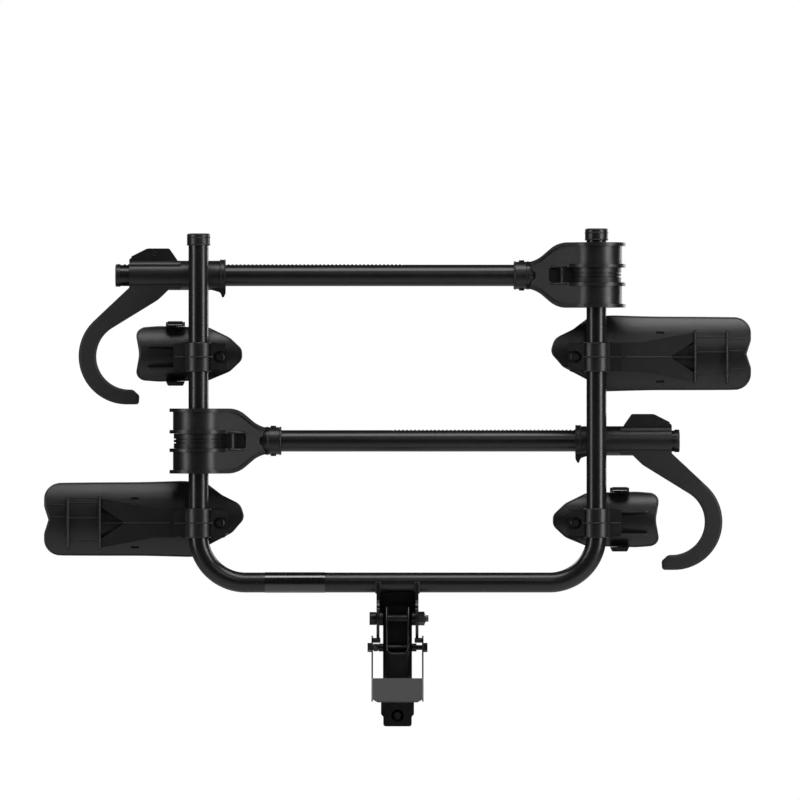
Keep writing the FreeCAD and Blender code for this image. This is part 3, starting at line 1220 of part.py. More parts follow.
def build_hitch():
    """Everything that stays with the car."""
    save("stinger_tube", stinger())
    save("stinger_socket", socket())
    save("mast", mast())
    save("draw_bolt", draw_bolt())
    save("draw_bolt_guides", rod_guide(GUIDE_Y), rod_guide(-STINGER_TAIL + 30.0))
    save("wedge", wedge())
    save("wedge_nut", wedge_nut())
    save("fold_pivot_bolt", pivot_bolt())
    save("fold_pivot_nut", pivot_nut())
    save("pivot_bushes", *both_sides(pivot_bush()))
    save("pedal_bolt", pedal_bolt())
    save("pedal_nut", pedal_nut())
    save("pedal_spacers", *both_sides(pedal_spacer()))
    save("pedal_spring", pedal_spring())
    save("pedal_arms", *both_sides(pedal_arm()))
    save("pedal_tread", pedal_tread())
    save("latch_pins", *both_sides(latch_pin()))


def build_frame():
    """The tube frame and the bracket that folds with it."""
    save("bracket_plates", *both_sides(side_plate()))
    save("bracket_web", web_plate())
    save("cross_tube", cross_tube())
    save("gloss_band", gloss_band())
    left_top = UPRIGHT_TOP - LEFT_SHORTER
    save("right_upright", upright(UPRIGHT_TOP))
    save("left_upright", mirrored(upright(left_top)))
    save("right_corner_bend", bend())
    save("left_corner_bend", mirrored(bend()))
    save("end_caps", end_cap(UPRIGHT_TOP), mirrored(end_cap(left_top)))


def build_level(name, level):
    """One bike's arm, trays and lever, each in a node of its own."""
    pieces = {
        "yoke": [yoke()], "hub": [hub()], "collar_screws": collar_screws(),
        "arm_tube": [arm_tube()], "rack": [rack()], "arm_plug": [arm_plug()],
        "slider": [slider()], "hook": [hook()], "ratchet_housing": [housing()],
              "lever_pin": [lever_pin()],
        "release_lever": [release_lever()], "long_tray": [long_tray()], "short_tray": [short_tray()],
        "buckle_lever": [buckle_lever()],
    }
    for piece, shapes in pieces.items():
        outwards = SLIDER_AT[level] if piece in ON_SLIDER else 0.0
        save(name + "_" + piece, *[on_level(shape, level, outwards) for shape in shapes])


def build_shared():
    """Fasteners, clamps and straps that are alike on both levels and ride on the frame."""
    groups = {
        "hub_bolts": [hub_bolt()],
        "tray_clamps": [clamp_cap(AXIS_X, -1), clamp_cap(UPRIGHT_X, 1)],
        "clamp_bolts": [clamp_bolt(AXIS_X, -1), clamp_bolt(UPRIGHT_X, 1)],
        "wheel_straps": [strap()],
        "strap_fittings": [strap_anchor(), buckle_base(), buckle_pin()],
    }
    for name, shapes in groups.items():
        save(name, *[on_level(shape, level) for level in (0, 1) for shape in shapes])


def main():
    os.makedirs("parts", exist_ok=True)
    build_hitch()
    build_frame()
    build_level("lower", 0)
    build_level("upper", 1)
    build_shared()


main()
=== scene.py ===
# %% [markdown]
# # A folding bike rack for a car's hitch
# This notebook dresses a finished CAD model of a platform bike rack. The CAD solids already
# have their real sizes and places, so they stay as they are and only get better finishes.
# Small things that a CAD model leaves out, such as weld beads, mould lines, rolled rims,
# grip bars and washers, are modelled here and fixed to the body that carries them.

# %% Load the rack
import bpy
import bmesh
import json
import math
from mathutils import Matrix, Vector
from mathutils.bvhtree import BVHTree

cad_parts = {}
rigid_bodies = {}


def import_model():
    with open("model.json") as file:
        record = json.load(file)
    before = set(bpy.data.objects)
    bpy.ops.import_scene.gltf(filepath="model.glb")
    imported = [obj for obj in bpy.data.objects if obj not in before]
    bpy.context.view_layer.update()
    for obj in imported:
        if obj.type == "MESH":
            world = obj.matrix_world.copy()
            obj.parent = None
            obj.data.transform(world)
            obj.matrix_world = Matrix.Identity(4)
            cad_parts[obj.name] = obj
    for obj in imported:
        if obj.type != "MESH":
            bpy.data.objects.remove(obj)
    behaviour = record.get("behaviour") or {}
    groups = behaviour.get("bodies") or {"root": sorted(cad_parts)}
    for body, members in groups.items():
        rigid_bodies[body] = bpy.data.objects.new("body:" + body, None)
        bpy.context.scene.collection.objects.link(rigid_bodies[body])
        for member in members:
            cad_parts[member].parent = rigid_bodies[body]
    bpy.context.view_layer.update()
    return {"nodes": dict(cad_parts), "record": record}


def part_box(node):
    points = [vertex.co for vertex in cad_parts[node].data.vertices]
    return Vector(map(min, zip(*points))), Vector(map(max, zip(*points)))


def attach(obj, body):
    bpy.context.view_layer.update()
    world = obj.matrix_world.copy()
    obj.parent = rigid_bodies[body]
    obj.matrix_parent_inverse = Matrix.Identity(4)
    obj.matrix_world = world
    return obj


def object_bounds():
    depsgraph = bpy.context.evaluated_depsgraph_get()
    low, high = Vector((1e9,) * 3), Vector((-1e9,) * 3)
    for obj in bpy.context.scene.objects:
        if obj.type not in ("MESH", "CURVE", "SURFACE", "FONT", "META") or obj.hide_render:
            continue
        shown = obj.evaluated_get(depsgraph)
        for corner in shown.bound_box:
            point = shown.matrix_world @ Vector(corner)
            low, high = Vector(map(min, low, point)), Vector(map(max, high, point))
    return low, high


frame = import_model()
NODES = frame["nodes"]

# %% [markdown]
# ## The camera first
# The rack is seen square on from behind the car, from far away with a long lens, so that its
# two uprights stay parallel. A camera that is far off and zoomed in also shows the side of
# each tube as narrow as it is in life.

# %% Camera
SCENE = bpy.context.scene
SCENE.view_settings.view_transform = "Standard"
VIEW_WIDTH = 1.6             # metres across the view, at the tubes of the frame
VIEW_CENTRE = (0.005, 0.617)
CAMERA_DISTANCE = 20.0
SENSOR = 36.0                # millimetres
FRAME_PLANE = sum(corner.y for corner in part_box("left_upright")) / 2.0


def add_camera():
    """Long lens at the height of the view's middle, looking along +Y."""
    data = bpy.data.cameras.new("camera")
    data.sensor_width = SENSOR
    data.lens = SENSOR * CAMERA_DISTANCE / VIEW_WIDTH
    camera = bpy.data.objects.new("camera", data)
    camera.location = (VIEW_CENTRE[0], FRAME_PLANE - CAMERA_DISTANCE, VIEW_CENTRE[1])
    camera.rotation_euler = (math.pi / 2.0, 0.0, 0.0)
    SCENE.collection.objects.link(camera)
    SCENE.camera = camera
    print("lens", round(data.lens), "mm")


add_camera()

# %% [markdown]
# ## Shader maths in Python
# Wiring a procedural finish node by node hides the idea behind it. A small class wraps one
# output socket, and the usual operators add the Math nodes, so that a mask can be written
# as `(noise - 0.5) * 2`. Everything else goes through one method, `node`, that takes a
# node's type, its settings and the values of its inputs.

# %% A socket that knows arithmetic
class Socket:
    """An output socket with operators; each one adds a Math node."""

    def __init__(self, shader, socket):
        self.shader = shader
        self.socket = socket

    def maths(self, operation, *values):
        return self.shader.node("ShaderNodeMath", {"operation": operation}, list(values))

    def __add__(self, other):
        return self.maths("ADD", self, other)

    def __radd__(self, other):
        return self.maths("ADD", other, self)

    def __sub__(self, other):
        return self.maths("SUBTRACT", self, other)

    def __rsub__(self, other):
        return self.maths("SUBTRACT", other, self)

    def __mul__(self, other):
        return self.maths("MULTIPLY", self, other)

    def __rmul__(self, other):
        return self.maths("MULTIPLY", other, self)

    def ramp(self, low, high, out_low=0.0, out_high=1.0):
        """This value stretched from low..high to out_low..out_high, and held at the ends."""
        return self.shader.node("ShaderNodeMapRange", {"clamp": True},
                                [self, low, high, out_low, out_high])


class Finish:
    """One material: a Principled shader and the nodes that feed it."""

    def __init__(self, name):
        self.material = bpy.data.materials.new(name)
        self.material.use_nodes = True
        self.tree = self.material.node_tree
        self.principled = self.tree.nodes["Principled BSDF"]

    def node(self, kind, settings, inputs, output=0):
        """Add a node; inputs is a list in socket order or a dictionary by socket name."""
        made = self.tree.nodes.new(kind)
        for key, value in settings.items():
            setattr(made, key, value)
        pairs = inputs.items() if isinstance(inputs, dict) else enumerate(inputs)
        for key, value in pairs:
            self.feed(made.inputs[key], value)
        return Socket(self, made.outputs[output])

    def feed(self, target, value):
        """Link a Socket to an input, or store a plain value on it."""
        if isinstance(value, Socket):
            self.tree.links.new(value.socket, target)
        else:
            target.default_value = value

    def set(self, **values):
        """Constants and links on the Principled shader; underscores stand for spaces."""
        for key, value in values.items():
            self.feed(self.principled.inputs[key.replace("_", " ")], value)

    def place(self):
        """Object coordinates: metres in the rack's own frame."""
        return self.node("ShaderNodeTexCoord", {}, {}, "Object")

    def noise(self, place, scale, detail=2.0, stretch=None):
        """Smooth noise; stretch squeezes the pattern along some axes."""
        if stretch:
            place = self.node("ShaderNodeMapping", {}, {"Vector": place, "Scale": stretch})
        return self.node("ShaderNodeTexNoise", {},
                         {"Vector": place, "Scale": scale, "Detail": detail}, "Fac")

    def mix(self, factor, first, second):
        """Mix two colours."""
        return self.node("ShaderNodeMix", {"data_type": "RGBA"},
                         {"Factor": factor, 6: first, 7: second}, 2)

    def bump(self, height, strength, distance):
        return self.node("ShaderNodeBump", {},
                         {"Strength": strength, "Distance": distance, "Height": height})


# %% [markdown]
# ## Finishes
# The whole rack is black, so the finishes differ in grain and gloss instead of colour.
# Powder-coated steel is satin with a faint orange peel. Glass-filled nylon is duller,
# with a fine spark-eroded grain and faint flow marks. Black looks flat and dead where it
# is one even value, so each finish drifts a little in tone and gloss, at a scale too soft
# to read as a stain.

# %% Black finishes
DRIFT_SCALE = 6.0            # scales of noise are in cells for each metre
DRIFT_RAMP = (0.3, 0.7)      # a ramp says which values of the noise count as none and as all
DUST_SCALE = 55.0
DUST_RAMP = (0.56, 0.78)
DUST_COVER = 0.25
DUST_LIGHTER = 1.5
PEEL_SCALE = 260.0
GRAIN_UNDER_PEEL = 0.35
GRAIN_DEPTH = 0.0004
GRAIN_ROUGHNESS = 0.08
DUST_ROUGHNESS = 0.05


def rgb(value, tint=0.0):
    """Nearly neutral black or grey; tint leans it to blue."""
    return (value, value, value * (1.0 + tint), 1.0)


def black_finish(name, dark, light, rough, grain, grain_size, peel=0.0, tint=0.08, drift=0.05):
    """A black surface: tone and gloss that drift a little, fine grain, and orange peel."""
    finish = Finish(name)
    place = finish.place()
    tone = finish.noise(place, DRIFT_SCALE, detail=4.0).ramp(*DRIFT_RAMP)
    fine = finish.noise(place, grain_size)
    dust = finish.noise(place, DUST_SCALE, detail=5.0).ramp(*DUST_RAMP)
    colour = finish.mix(tone, rgb(dark, tint), rgb(light, tint))
    colour = finish.mix(dust * DUST_COVER, colour, rgb(light * DUST_LIGHTER))
    height = fine
    if peel:
        height = fine * GRAIN_UNDER_PEEL + finish.noise(place, PEEL_SCALE, detail=1.0) * peel
    shine = (fine - 0.5) * GRAIN_ROUGHNESS + (tone * drift + rough) + dust * DUST_ROUGHNESS
    finish.set(Base_Color=colour, Roughness=shine,
               Normal=finish.bump(height, grain, GRAIN_DEPTH))
    return finish


def gloss_finish(name, value):
    """A lacquered sleeve: a hard clear coat over black."""
    finish = black_finish(name, dark=value, light=value * 1.3, rough=0.16,
                          grain=0.03, grain_size=900.0, drift=0.02)
    finish.set(Coat_Weight=1.0, Coat_Roughness=0.06)
    return finish


TURNED_SCALE = 900.0
TURNED_STRETCH = (1.0, 1.0, 0.08)
TURNED_BUMP = 0.25
TURNED_DEPTH = 0.0002
STAIN_SCALE = 45.0
STAIN_RAMP = (0.4, 0.75)
STAIN_DARKER = 0.55
STEEL_ROUGHENING = 0.12      # what the marks and the stains each add to the roughness


def steel_finish(name, colour, rough):
    """Plated or blackened steel with turned marks and a little staining."""
    finish = Finish(name)
    place = finish.place()
    marks = finish.noise(place, TURNED_SCALE, stretch=TURNED_STRETCH)
    stain = finish.noise(place, STAIN_SCALE, detail=4.0).ramp(*STAIN_RAMP)
    finish.set(Base_Color=finish.mix(stain, rgb(colour), rgb(colour * STAIN_DARKER)),
               Metallic=1.0,
               Roughness=marks * STEEL_ROUGHENING + stain * STEEL_ROUGHENING + rough,
               Normal=finish.bump(marks, TURNED_BUMP, TURNED_DEPTH))
    return finish


MADE = {                     # dark and light tone, roughness, strength and scale of the grain
    "frame_paint": black_finish("powder_coat_black", 0.0036, 0.0048, 0.28, 0.16, 1500.0,
                                peel=0.8),
    "moulded_black": black_finish("glass_filled_nylon", 0.0052, 0.0070, 0.34, 0.24, 1900.0),
    "hook_black": black_finish("soft_touch_moulding", 0.0068, 0.0088, 0.54, 0.22, 1200.0),
    "gloss_black": gloss_finish("gloss_sleeve", 0.0030),
    "black_steel": steel_finish("black_oxide_steel", 0.045, rough=0.34),
    "bright_steel": steel_finish("dark_zinc_steel", 0.13, rough=0.28),
    # The tread's grey is partly its own grey coat and partly painted light: it is lighter than the
    # other blacks to stand in for the top lamp's light on the upturned tread.
    "tread_grey": black_finish("grey_coat_and_painted_top_light", 0.026, 0.033, 0.55, 0.5, 1400.0,
                               tint=0.0),
    "strap_black": black_finish("strap_moulding", 0.0050, 0.0070, 0.36, 0.2, 1100.0),
}
FINISH = {slot: finish.material for slot, finish in MADE.items()}
SLOT = {row["node"]: row["material_slot"] for row in frame["record"]["subparts"]}


def dress_cad():
    """Give every CAD node the finish of its slot."""
    for name, obj in NODES.items():
        material = FINISH[SLOT[name]]
        obj.data.materials.clear()
        obj.data.materials.append(material)
    print("dressed", len(NODES), "nodes in", len(FINISH), "finishes")


dress_cad()

# %% [markdown]
# ## Tubes that lie on the rack
# A rolled rim or a seam is a tube that follows a path. A tube is a ring of points carried
# along that path, so one helper writes it into a bmesh. Small beads have to lie exactly on
# the CAD surfaces, and a ray from behind the rack finds those: it returns the first point
# that it hits on a node, so the beads stay right if a size changes.

# %% Tubes along a path, and rays onto a node
def circle(centre, first, second, radius, steps):
    """Points on a circle in the plane of two unit vectors."""
    turns = [math.tau * i / steps for i in range(steps)]
    return [centre + (first * math.cos(t) + second * math.sin(t)) * radius for t in turns]


def add_tube(shape, path, radius, normal, closed=False, sides=8):
    """Round tube along points; normal is the direction that the path's plane faces."""
    count = len(path)
    rings = []
    for i, here in enumerate(path):
        ahead = path[(i + 1) % count] if closed else path[min(i + 1, count - 1)]
        back = path[i - 1] if closed or i else here
        along = (ahead - back).normalized()
        side = along.cross(normal).normalized()
        up = side.cross(along)
        rings.append([shape.verts.new(point) for point in circle(here, side, up, radius, sides)])
    for i in range(count if closed else count - 1):
        first, second = rings[i], rings[(i + 1) % count]
        for k in range(sides):
            shape.faces.new((first[k], first[(k + 1) % sides], second[(k + 1) % sides], second[k]))
    if not closed:
        shape.faces.new(rings[0])
        shape.faces.new(rings[-1])


def finish_piece(name, shape, slot, body):
    """Turn a bmesh into a smooth piece with a finish, on the body that carries it."""
    bmesh.ops.recalc_face_normals(shape, faces=shape.faces)
    for face in shape.faces:
        face.smooth = True
    mesh = bpy.data.meshes.new(name)
    shape.to_mesh(mesh)
    shape.free()
    mesh.materials.append(FINISH[slot])
    piece = bpy.data.objects.new(name, mesh)
    SCENE.collection.objects.link(piece)
    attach(piece, body)
    print(name, len(mesh.polygons), "faces on", body)


ACROSS, AHEAD, UP = Vector((1, 0, 0)), Vector((0, 1, 0)), Vector((0, 0, 1))
FAR_BEHIND = -2.0


def surface(node):
    """A ray target made from a CAD node."""
    mesh = NODES[node].data
    return BVHTree.FromPolygons([vert.co for vert in mesh.vertices],
                                [face.vertices for face in mesh.polygons])


def from_behind(target, x, z):
    """The point of a target that is seen from behind at (x, z), or None beside it."""
    return target.ray_cast(Vector((x, FAR_BEHIND, z)), AHEAD)[0]


def laid_path(target, places):
    """The points of a target seen from behind at (x, z) places, without those that miss."""
    hits = [from_behind(target, x, z) for x, z in places]
    return [point for point in hits if point]


def middle(node):
    """Centre of a node's box."""
    low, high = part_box(node)
    return (low + high) / 2.0


# %% Places that several pieces share
LEVELS = {"lower": 1.0, "upper": -1.0}      # the side, in x, that the level's hook is on
SIDES = (-1.0, 1.0)
UPRIGHT_X = middle("right_upright").x
CROSS = middle("cross_tube")
TUBE_R = (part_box("cross_tube")[1].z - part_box("cross_tube")[0].z) / 2.0
TRAY_BELOW_ARM = 0.164


def tray_height(level):
    """Height of the middle of a level's trays."""
    return middle(level + "_arm_tube").z - TRAY_BELOW_ARM


def end_off_hook(node, side):
    """The x where a node ends, on the side away from its level's hook."""
    low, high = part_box(node)
    return low.x if side > 0 else high.x


print("upright at", round(UPRIGHT_X, 4), "tube radius", round(TUBE_R, 4))

# %% [markdown]
# ## Rolled rims of the trays
# A moulded tray has a thick rounded lip all round, which stiffens its thin wall and doesn't
# cut a tyre. Its outline could be typed in again, but a search finds it: from the tray's
# middle, each direction is halved between a point on the tray and a point beside it until
# the edge is met. A tube along those points is the lip.

# %% Tray rims
RIM_STEPS = 160
RIM_RADIUS = 0.0026
RIM_SUNK = 0.7               # how deep the rim lies in the tray, in radii
HALVINGS = 16
INSIDE, OUTSIDE = 0.8, 1.3   # shares of the half size that surely hit and surely miss


def edge_share(target, centre, way, inset):
    """How far from the centre the target ends along a direction, as a share of it."""
    near, far = INSIDE, OUTSIDE
    for _ in range(HALVINGS):
        share = (near + far) / 2.0
        if from_behind(target, centre.x + way.x * share, centre.z + way.z * share):
            near = share
        else:
            far = share
    return near - inset / way.length


def rim_path(node, inset):
    """Closed path just inside the outline of a node seen from behind."""
    low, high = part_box(node)
    target, centre = surface(node), (low + high) / 2.0
    path = []
    for i in range(RIM_STEPS):
        turn = math.tau * i / RIM_STEPS
        way = Vector(((high.x - low.x) / 2.0 * math.cos(turn), 0,
                      (high.z - low.z) / 2.0 * math.sin(turn)))
        share = edge_share(target, centre, way, inset)
        point = from_behind(target, centre.x + way.x * share, centre.z + way.z * share)
        path.append(point + AHEAD * RIM_RADIUS * RIM_SUNK)
    return path


def tray_rims():
    """The lips of the four trays in one mesh."""
    shape = bmesh.new()
    for level in LEVELS:
        for tray in ("_long_tray", "_short_tray"):
            add_tube(shape, rim_path(level + tray, RIM_RADIUS), RIM_RADIUS, AHEAD, closed=True)
    finish_piece("tray_rims", shape, "moulded_black", "frame")


tray_rims()

# %% [markdown]
# ## Fine lines moulded under the long trays
# Between the two cross ribs, and beyond the outer one, thin lines run lengthwise. They guide
# the melt while the tray is moulded. A raised seam also runs down the middle of the keel,
# where the two halves of the mould meet, and one goes round each clamp. A thicker line
# rounds the crown of each cross rib. All of them are thin tubes, laid on the part by rays.

# %% Mould lines
LINE_STEPS = 24
INNER_RIB, OUTER_RIB = 0.112, 0.048     # distances from the tray's outer end
FINE, KEEL_SEAM = 0.0011, 0.0014        # radii
LINES = (                    # start and stop from the tray's outer end, height, radius
    (INNER_RIB, OUTER_RIB, 0.049, FINE), (INNER_RIB, OUTER_RIB, 0.040, FINE),
    (INNER_RIB, OUTER_RIB, -0.037, FINE), (OUTER_RIB, 0.012, 0.036, FINE),
    (OUTER_RIB, 0.014, 0.012, FINE), (OUTER_RIB, 0.012, -0.024, FINE),
    (INNER_RIB, OUTER_RIB, 0.010, FINE), (0.254, 0.160, 0.0, KEEL_SEAM),
)
CROWN = 0.0021
CROWN_HALF = 0.053
CLAMP_SEAM = 0.0015
SEAM_ENDS = (0.0485, -0.029)            # distances outwards from the upright's axis
THIN_SIDES = 6


def surface_line(target, x0, x1, z):
    """Points on the target from x0 to x1, without the ends that miss it."""
    return laid_path(target, [(x0 + (x1 - x0) * i / LINE_STEPS, z)
                              for i in range(LINE_STEPS + 1)])


def mould_lines():
    """Thin lines and the crowns of the ribs on the underside of the long trays."""
    shape = bmesh.new()
    for level, side in LEVELS.items():
        node = level + "_long_tray"
        target, end, height = surface(node), end_off_hook(node, side), tray_height(level)
        for start, stop, z, radius in LINES:
            path = surface_line(target, end + side * start, end + side * stop, height + z)
            add_tube(shape, path, radius, AHEAD, sides=THIN_SIDES)
        for rib in (INNER_RIB, OUTER_RIB):
            crown = laid_path(target, [(end + side * rib, height + CROWN_HALF * i / LINE_STEPS)
                                       for i in range(-LINE_STEPS, LINE_STEPS + 1)])
            add_tube(shape, crown, CROWN, AHEAD)
    finish_piece("mould_lines", shape, "moulded_black", "frame")


def clamp_seams():
    """The seam round the middle of each tray clamp, from its outer edge to its jaws."""
    shape = bmesh.new()
    target = surface("tray_clamps")
    for level in LEVELS:
        for side in SIDES:
            start, stop = (side * (UPRIGHT_X + away) for away in SEAM_ENDS)
            add_tube(shape, surface_line(target, start, stop, tray_height(level)), CLAMP_SEAM,
                     AHEAD, sides=THIN_SIDES)
    finish_piece("clamp_seams", shape, "moulded_black", "frame")


mould_lines()
clamp_seams()

# %% [markdown]
# ## Pads over the strap slots
# Each long tray has two slots for the rear wheel's strap. A rubber pad closes each slot from
# the wheel's side, so that no light shows through. A pad is a bevelled plate that lies in
# the trough: a ray from the car's side gives its place, and the hit's normal its tilt.

# %% Strap slot pads
SLOT_FROM_END = 0.182
SLOT_HALF_PITCH = 0.048
PAD_SIZE = (0.026, 0.014, 0.0024)
PAD_LIFT = 0.3               # lift and rounding are shares of the pad's thickness
PAD_ROUNDING = 0.4
PAD_EDGE_STEPS = 3
PAD_EDGE_PROFILE = 0.6
FAR_AHEAD = 1.0


def add_pad(shape, centre, normal, size):
    """A plate with rounded edges that lies on a surface with this normal."""
    short_way = normal.cross(ACROSS).normalized()
    turn = Matrix((ACROSS, short_way, normal)).transposed().to_4x4()
    place = Matrix.Translation(centre) @ turn @ Matrix.Diagonal((*size, 1.0))
    made = bmesh.ops.create_cube(shape, size=1.0, matrix=place)["verts"]
    edges = list({edge for vert in made for edge in vert.link_edges})
    bmesh.ops.bevel(shape, geom=edges, offset=size[2] * PAD_ROUNDING, segments=PAD_EDGE_STEPS,
                    affect="EDGES", profile=PAD_EDGE_PROFILE)


def slot_pads():
    """Two pads on each long tray."""
    shape = bmesh.new()
    for level, side in LEVELS.items():
        node = level + "_long_tray"
        target, height = surface(node), tray_height(level)
        x = end_off_hook(node, side) + side * SLOT_FROM_END
        for z in (height - SLOT_HALF_PITCH, height + SLOT_HALF_PITCH):
            beside = Vector((x + 0.5 * PAD_SIZE[0], FAR_AHEAD, z))
            hit, normal = target.ray_cast(beside, -AHEAD)[:2]
            centre = Vector((x, hit.y, z)) + normal * PAD_SIZE[2] * PAD_LIFT
            add_pad(shape, centre, normal, PAD_SIZE)
    finish_piece("slot_pads", shape, "strap_black", "frame")


slot_pads()

# %% [markdown]
# ## Lip round the yoke's window
# The yoke is open between its barrels, so that the hub's ear can pass. The opening has a
# raised lip that stops the casting from cracking there. Seen from behind it is a slot with
# two rounded corners, so its path is two straight runs and an arc at each corner.

# %% Window lips
WINDOW_START, WINDOW_END = 0.060, 0.0945     # distances from the upright's axis
WINDOW_HALF = 0.0174
WINDOW_CORNER = 0.006
BESIDE_WINDOW = 0.0195       # a height on the face just outside the window
LIP_RADIUS = 0.0022
ARC_STEPS = 8


def slot_outline(start, end, half, corner):
    """Points (a, b) of a window that is open at its start and has round corners at its end."""
    turns = [math.pi / 2.0 * i / ARC_STEPS for i in range(ARC_STEPS, -1, -1)]
    upper = [(end - corner + corner * math.cos(t), half - corner + corner * math.sin(t))
             for t in turns]
    lower = [(a, -b) for a, b in reversed(upper)]
    return [(start, half)] + upper + lower + [(start, -half)]


def window_lip(level, side):
    """Lip on the rear face of one level's yoke; its depth is taken on the face beside it."""
    shape = bmesh.new()
    target = surface(level + "_yoke")
    height = middle(level + "_arm_tube").z
    path = []
    for a, b in slot_outline(WINDOW_START, WINDOW_END, WINDOW_HALF, WINDOW_CORNER):
        x = side * (a - UPRIGHT_X)
        face = from_behind(target, x, height + BESIDE_WINDOW)
        if face:
            path.append(Vector((x, face.y, height + b)))
    add_tube(shape, path, LIP_RADIUS, AHEAD)
    finish_piece(level + "_window_lip", shape, "moulded_black", level + "_arm")


for level_name, level_side in LEVELS.items():
    window_lip(level_name, level_side)

# %% [markdown]
# ## Blend between the yoke's neck and its collar
# The yoke is one casting, so the flat neck flows into the round collar. A turned surface
# does that: a profile of distances along the arm and radii, spun round the arm's axis. It
# starts inside the neck and ends on the collar, and a second, smaller profile makes the
# bead at the collar's end.

# %% Turned shapes
TURN_STEPS = 64


def add_turned(shape, centre, axis, profile):
    """Spin (along, radius) points round an axis; a closed profile makes a closed shell."""
    first = axis.orthogonal().normalized()
    second = axis.cross(first)
    rings = [[shape.verts.new(point)
              for point in circle(centre + axis * along, first, second, radius, TURN_STEPS)]
             for along, radius in profile]
    for ring, after in zip(rings, rings[1:] + rings[:1]):
        for i in range(TURN_STEPS):
            j = (i + 1) % TURN_STEPS
            shape.faces.new((ring[i], ring[j], after[j], after[i]))


NECK_PROFILE = (             # distance from the upright's axis, radius
    (0.108, 0.0195), (0.116, 0.0215), (0.125, 0.0250), (0.131, 0.0272), (0.136, 0.0284),
    (0.1385, 0.0284), (0.1395, 0.0274), (0.1395, 0.0255), (0.108, 0.0175))
COLLAR_RING = (
    (0.161, 0.0260), (0.161, 0.0282), (0.1625, 0.0288), (0.164, 0.0282), (0.165, 0.0270),
    (0.165, 0.0225))


def neck_blend(level, side):
    """Turned blend over the joint of neck and collar, and a ring at the collar's end."""
    shape = bmesh.new()
    arm = middle(level + "_arm_tube")
    start = Vector((-side * UPRIGHT_X, arm.y, arm.z))
    for profile in (NECK_PROFILE, COLLAR_RING):
        add_turned(shape, start, ACROSS * side, profile)
    finish_piece(level + "_neck_blend", shape, "moulded_black", level + "_arm")


for level_name, level_side in LEVELS.items():
    neck_blend(level_name, level_side)

# %% [markdown]
# ## Rows of small things with Geometry Nodes
# A weld is a row of overlapping drops of steel, and the teeth of a strap or the grip bars of
# a buckle are rows as well. One node tree makes them all. It turns a path of edges into a
# curve, spaces points along it, sets a rounded drop on each with its length along the path
# and its back away from the surface, and varies the size a little with a fixed seed.

# %% The recipe for a row of drops
class Recipe:
    """A Geometry Nodes tree with named inputs."""

    def __init__(self, name, sockets):
        self.tree = bpy.data.node_groups.new(name, "GeometryNodeTree")
        face = self.tree.interface
        self.ids = {label: face.new_socket(label, in_out="INPUT", socket_type=kind).identifier
                    for label, kind in sockets.items()}
        face.new_socket("Result", in_out="OUTPUT", socket_type="NodeSocketGeometry")
        self.given = self.tree.nodes.new("NodeGroupInput").outputs

    def node(self, kind, settings, inputs, output=0):
        """Add a node; inputs go by socket name and are sockets or plain values."""
        made = self.tree.nodes.new(kind)
        for key, value in settings.items():
            setattr(made, key, value)
        for key, value in inputs.items():
            if isinstance(value, bpy.types.NodeSocket):
                self.tree.links.new(value, made.inputs[key])
            else:
                made.inputs[key].default_value = value
        return made.outputs[output]

    def finish(self, geometry, material):
        """Realize the instances, set the material and close the tree."""
        solid = self.node("GeometryNodeRealizeInstances", {}, {"Geometry": geometry})
        smooth = self.node("GeometryNodeSetShadeSmooth", {}, {"Geometry": solid})
        dressed = self.node("GeometryNodeSetMaterial", {},
                            {"Geometry": smooth, "Material": material})
        self.tree.links.new(dressed, self.tree.nodes.new("NodeGroupOutput").inputs[0])


SMALLEST, LARGEST = 0.92, 1.06     # shares of the size that a drop is given
ROW_SEED = 7


def row_recipe():
    """Drops along a path: spacing, size, the way their backs face, seed and finish."""
    recipe = Recipe("row_of_drops", {
        "Path": "NodeSocketGeometry", "Spacing": "NodeSocketFloat", "Size": "NodeSocketVector",
        "Facing": "NodeSocketVector", "Seed": "NodeSocketInt", "Finish": "NodeSocketMaterial"})
    given = recipe.given
    curve = recipe.node("GeometryNodeMeshToCurve", {}, {"Mesh": given["Path"]})
    points = recipe.node("GeometryNodeResampleCurve", {"mode": "LENGTH"},
                         {"Curve": curve, "Length": given["Spacing"]})
    drop = recipe.node("GeometryNodeMeshIcoSphere", {}, {"Radius": 0.5, "Subdivisions": 2})
    tangent = recipe.node("GeometryNodeInputTangent", {}, {})
    along = recipe.node("FunctionNodeAlignRotationToVector", {"axis": "X"}, {"Vector": tangent})
    turned = recipe.node("FunctionNodeAlignRotationToVector", {"axis": "Z", "pivot_axis": "X"},
                         {"Rotation": along, "Vector": given["Facing"]})
    share = recipe.node("FunctionNodeRandomValue", {"data_type": "FLOAT"},
                        {"Min": SMALLEST, "Max": LARGEST, "Seed": given["Seed"]}, 1)
    size = recipe.node("ShaderNodeVectorMath", {"operation": "SCALE"},
                       {0: given["Size"], "Scale": share})
    drops = recipe.node("GeometryNodeInstanceOnPoints", {},
                        {"Points": points, "Instance": drop, "Rotation": turned, "Scale": size})
    recipe.finish(drops, given["Finish"])
    return recipe


ROW = row_recipe()


def add_row(shape, path, closed=False):
    """Write a path into a bmesh as loose edges."""
    verts = [shape.verts.new(point) for point in path]
    for first, second in zip(verts, verts[1:] + (verts[:1] if closed else [])):
        shape.edges.new((first, second))


def rows_piece(name, shape, spacing, size, facing, slot, body):
    """Run the row recipe on a bmesh of paths and keep its result as one piece."""
    mesh = bpy.data.meshes.new(name)
    shape.to_mesh(mesh)
    shape.free()
    piece = bpy.data.objects.new(name, mesh)
    SCENE.collection.objects.link(piece)
    step = piece.modifiers.new("row", "NODES")
    step.node_group = ROW.tree
    given = {"Spacing": spacing, "Size": size, "Facing": tuple(facing), "Seed": ROW_SEED,
             "Finish": FINISH[slot]}
    for label, value in given.items():
        step[ROW.ids[label]] = value
    ready = piece.evaluated_get(bpy.context.evaluated_depsgraph_get())
    piece.data = bpy.data.meshes.new_from_object(ready)
    piece.modifiers.clear()
    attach(piece, body)
    print(name, len(piece.data.polygons), "faces on", body)


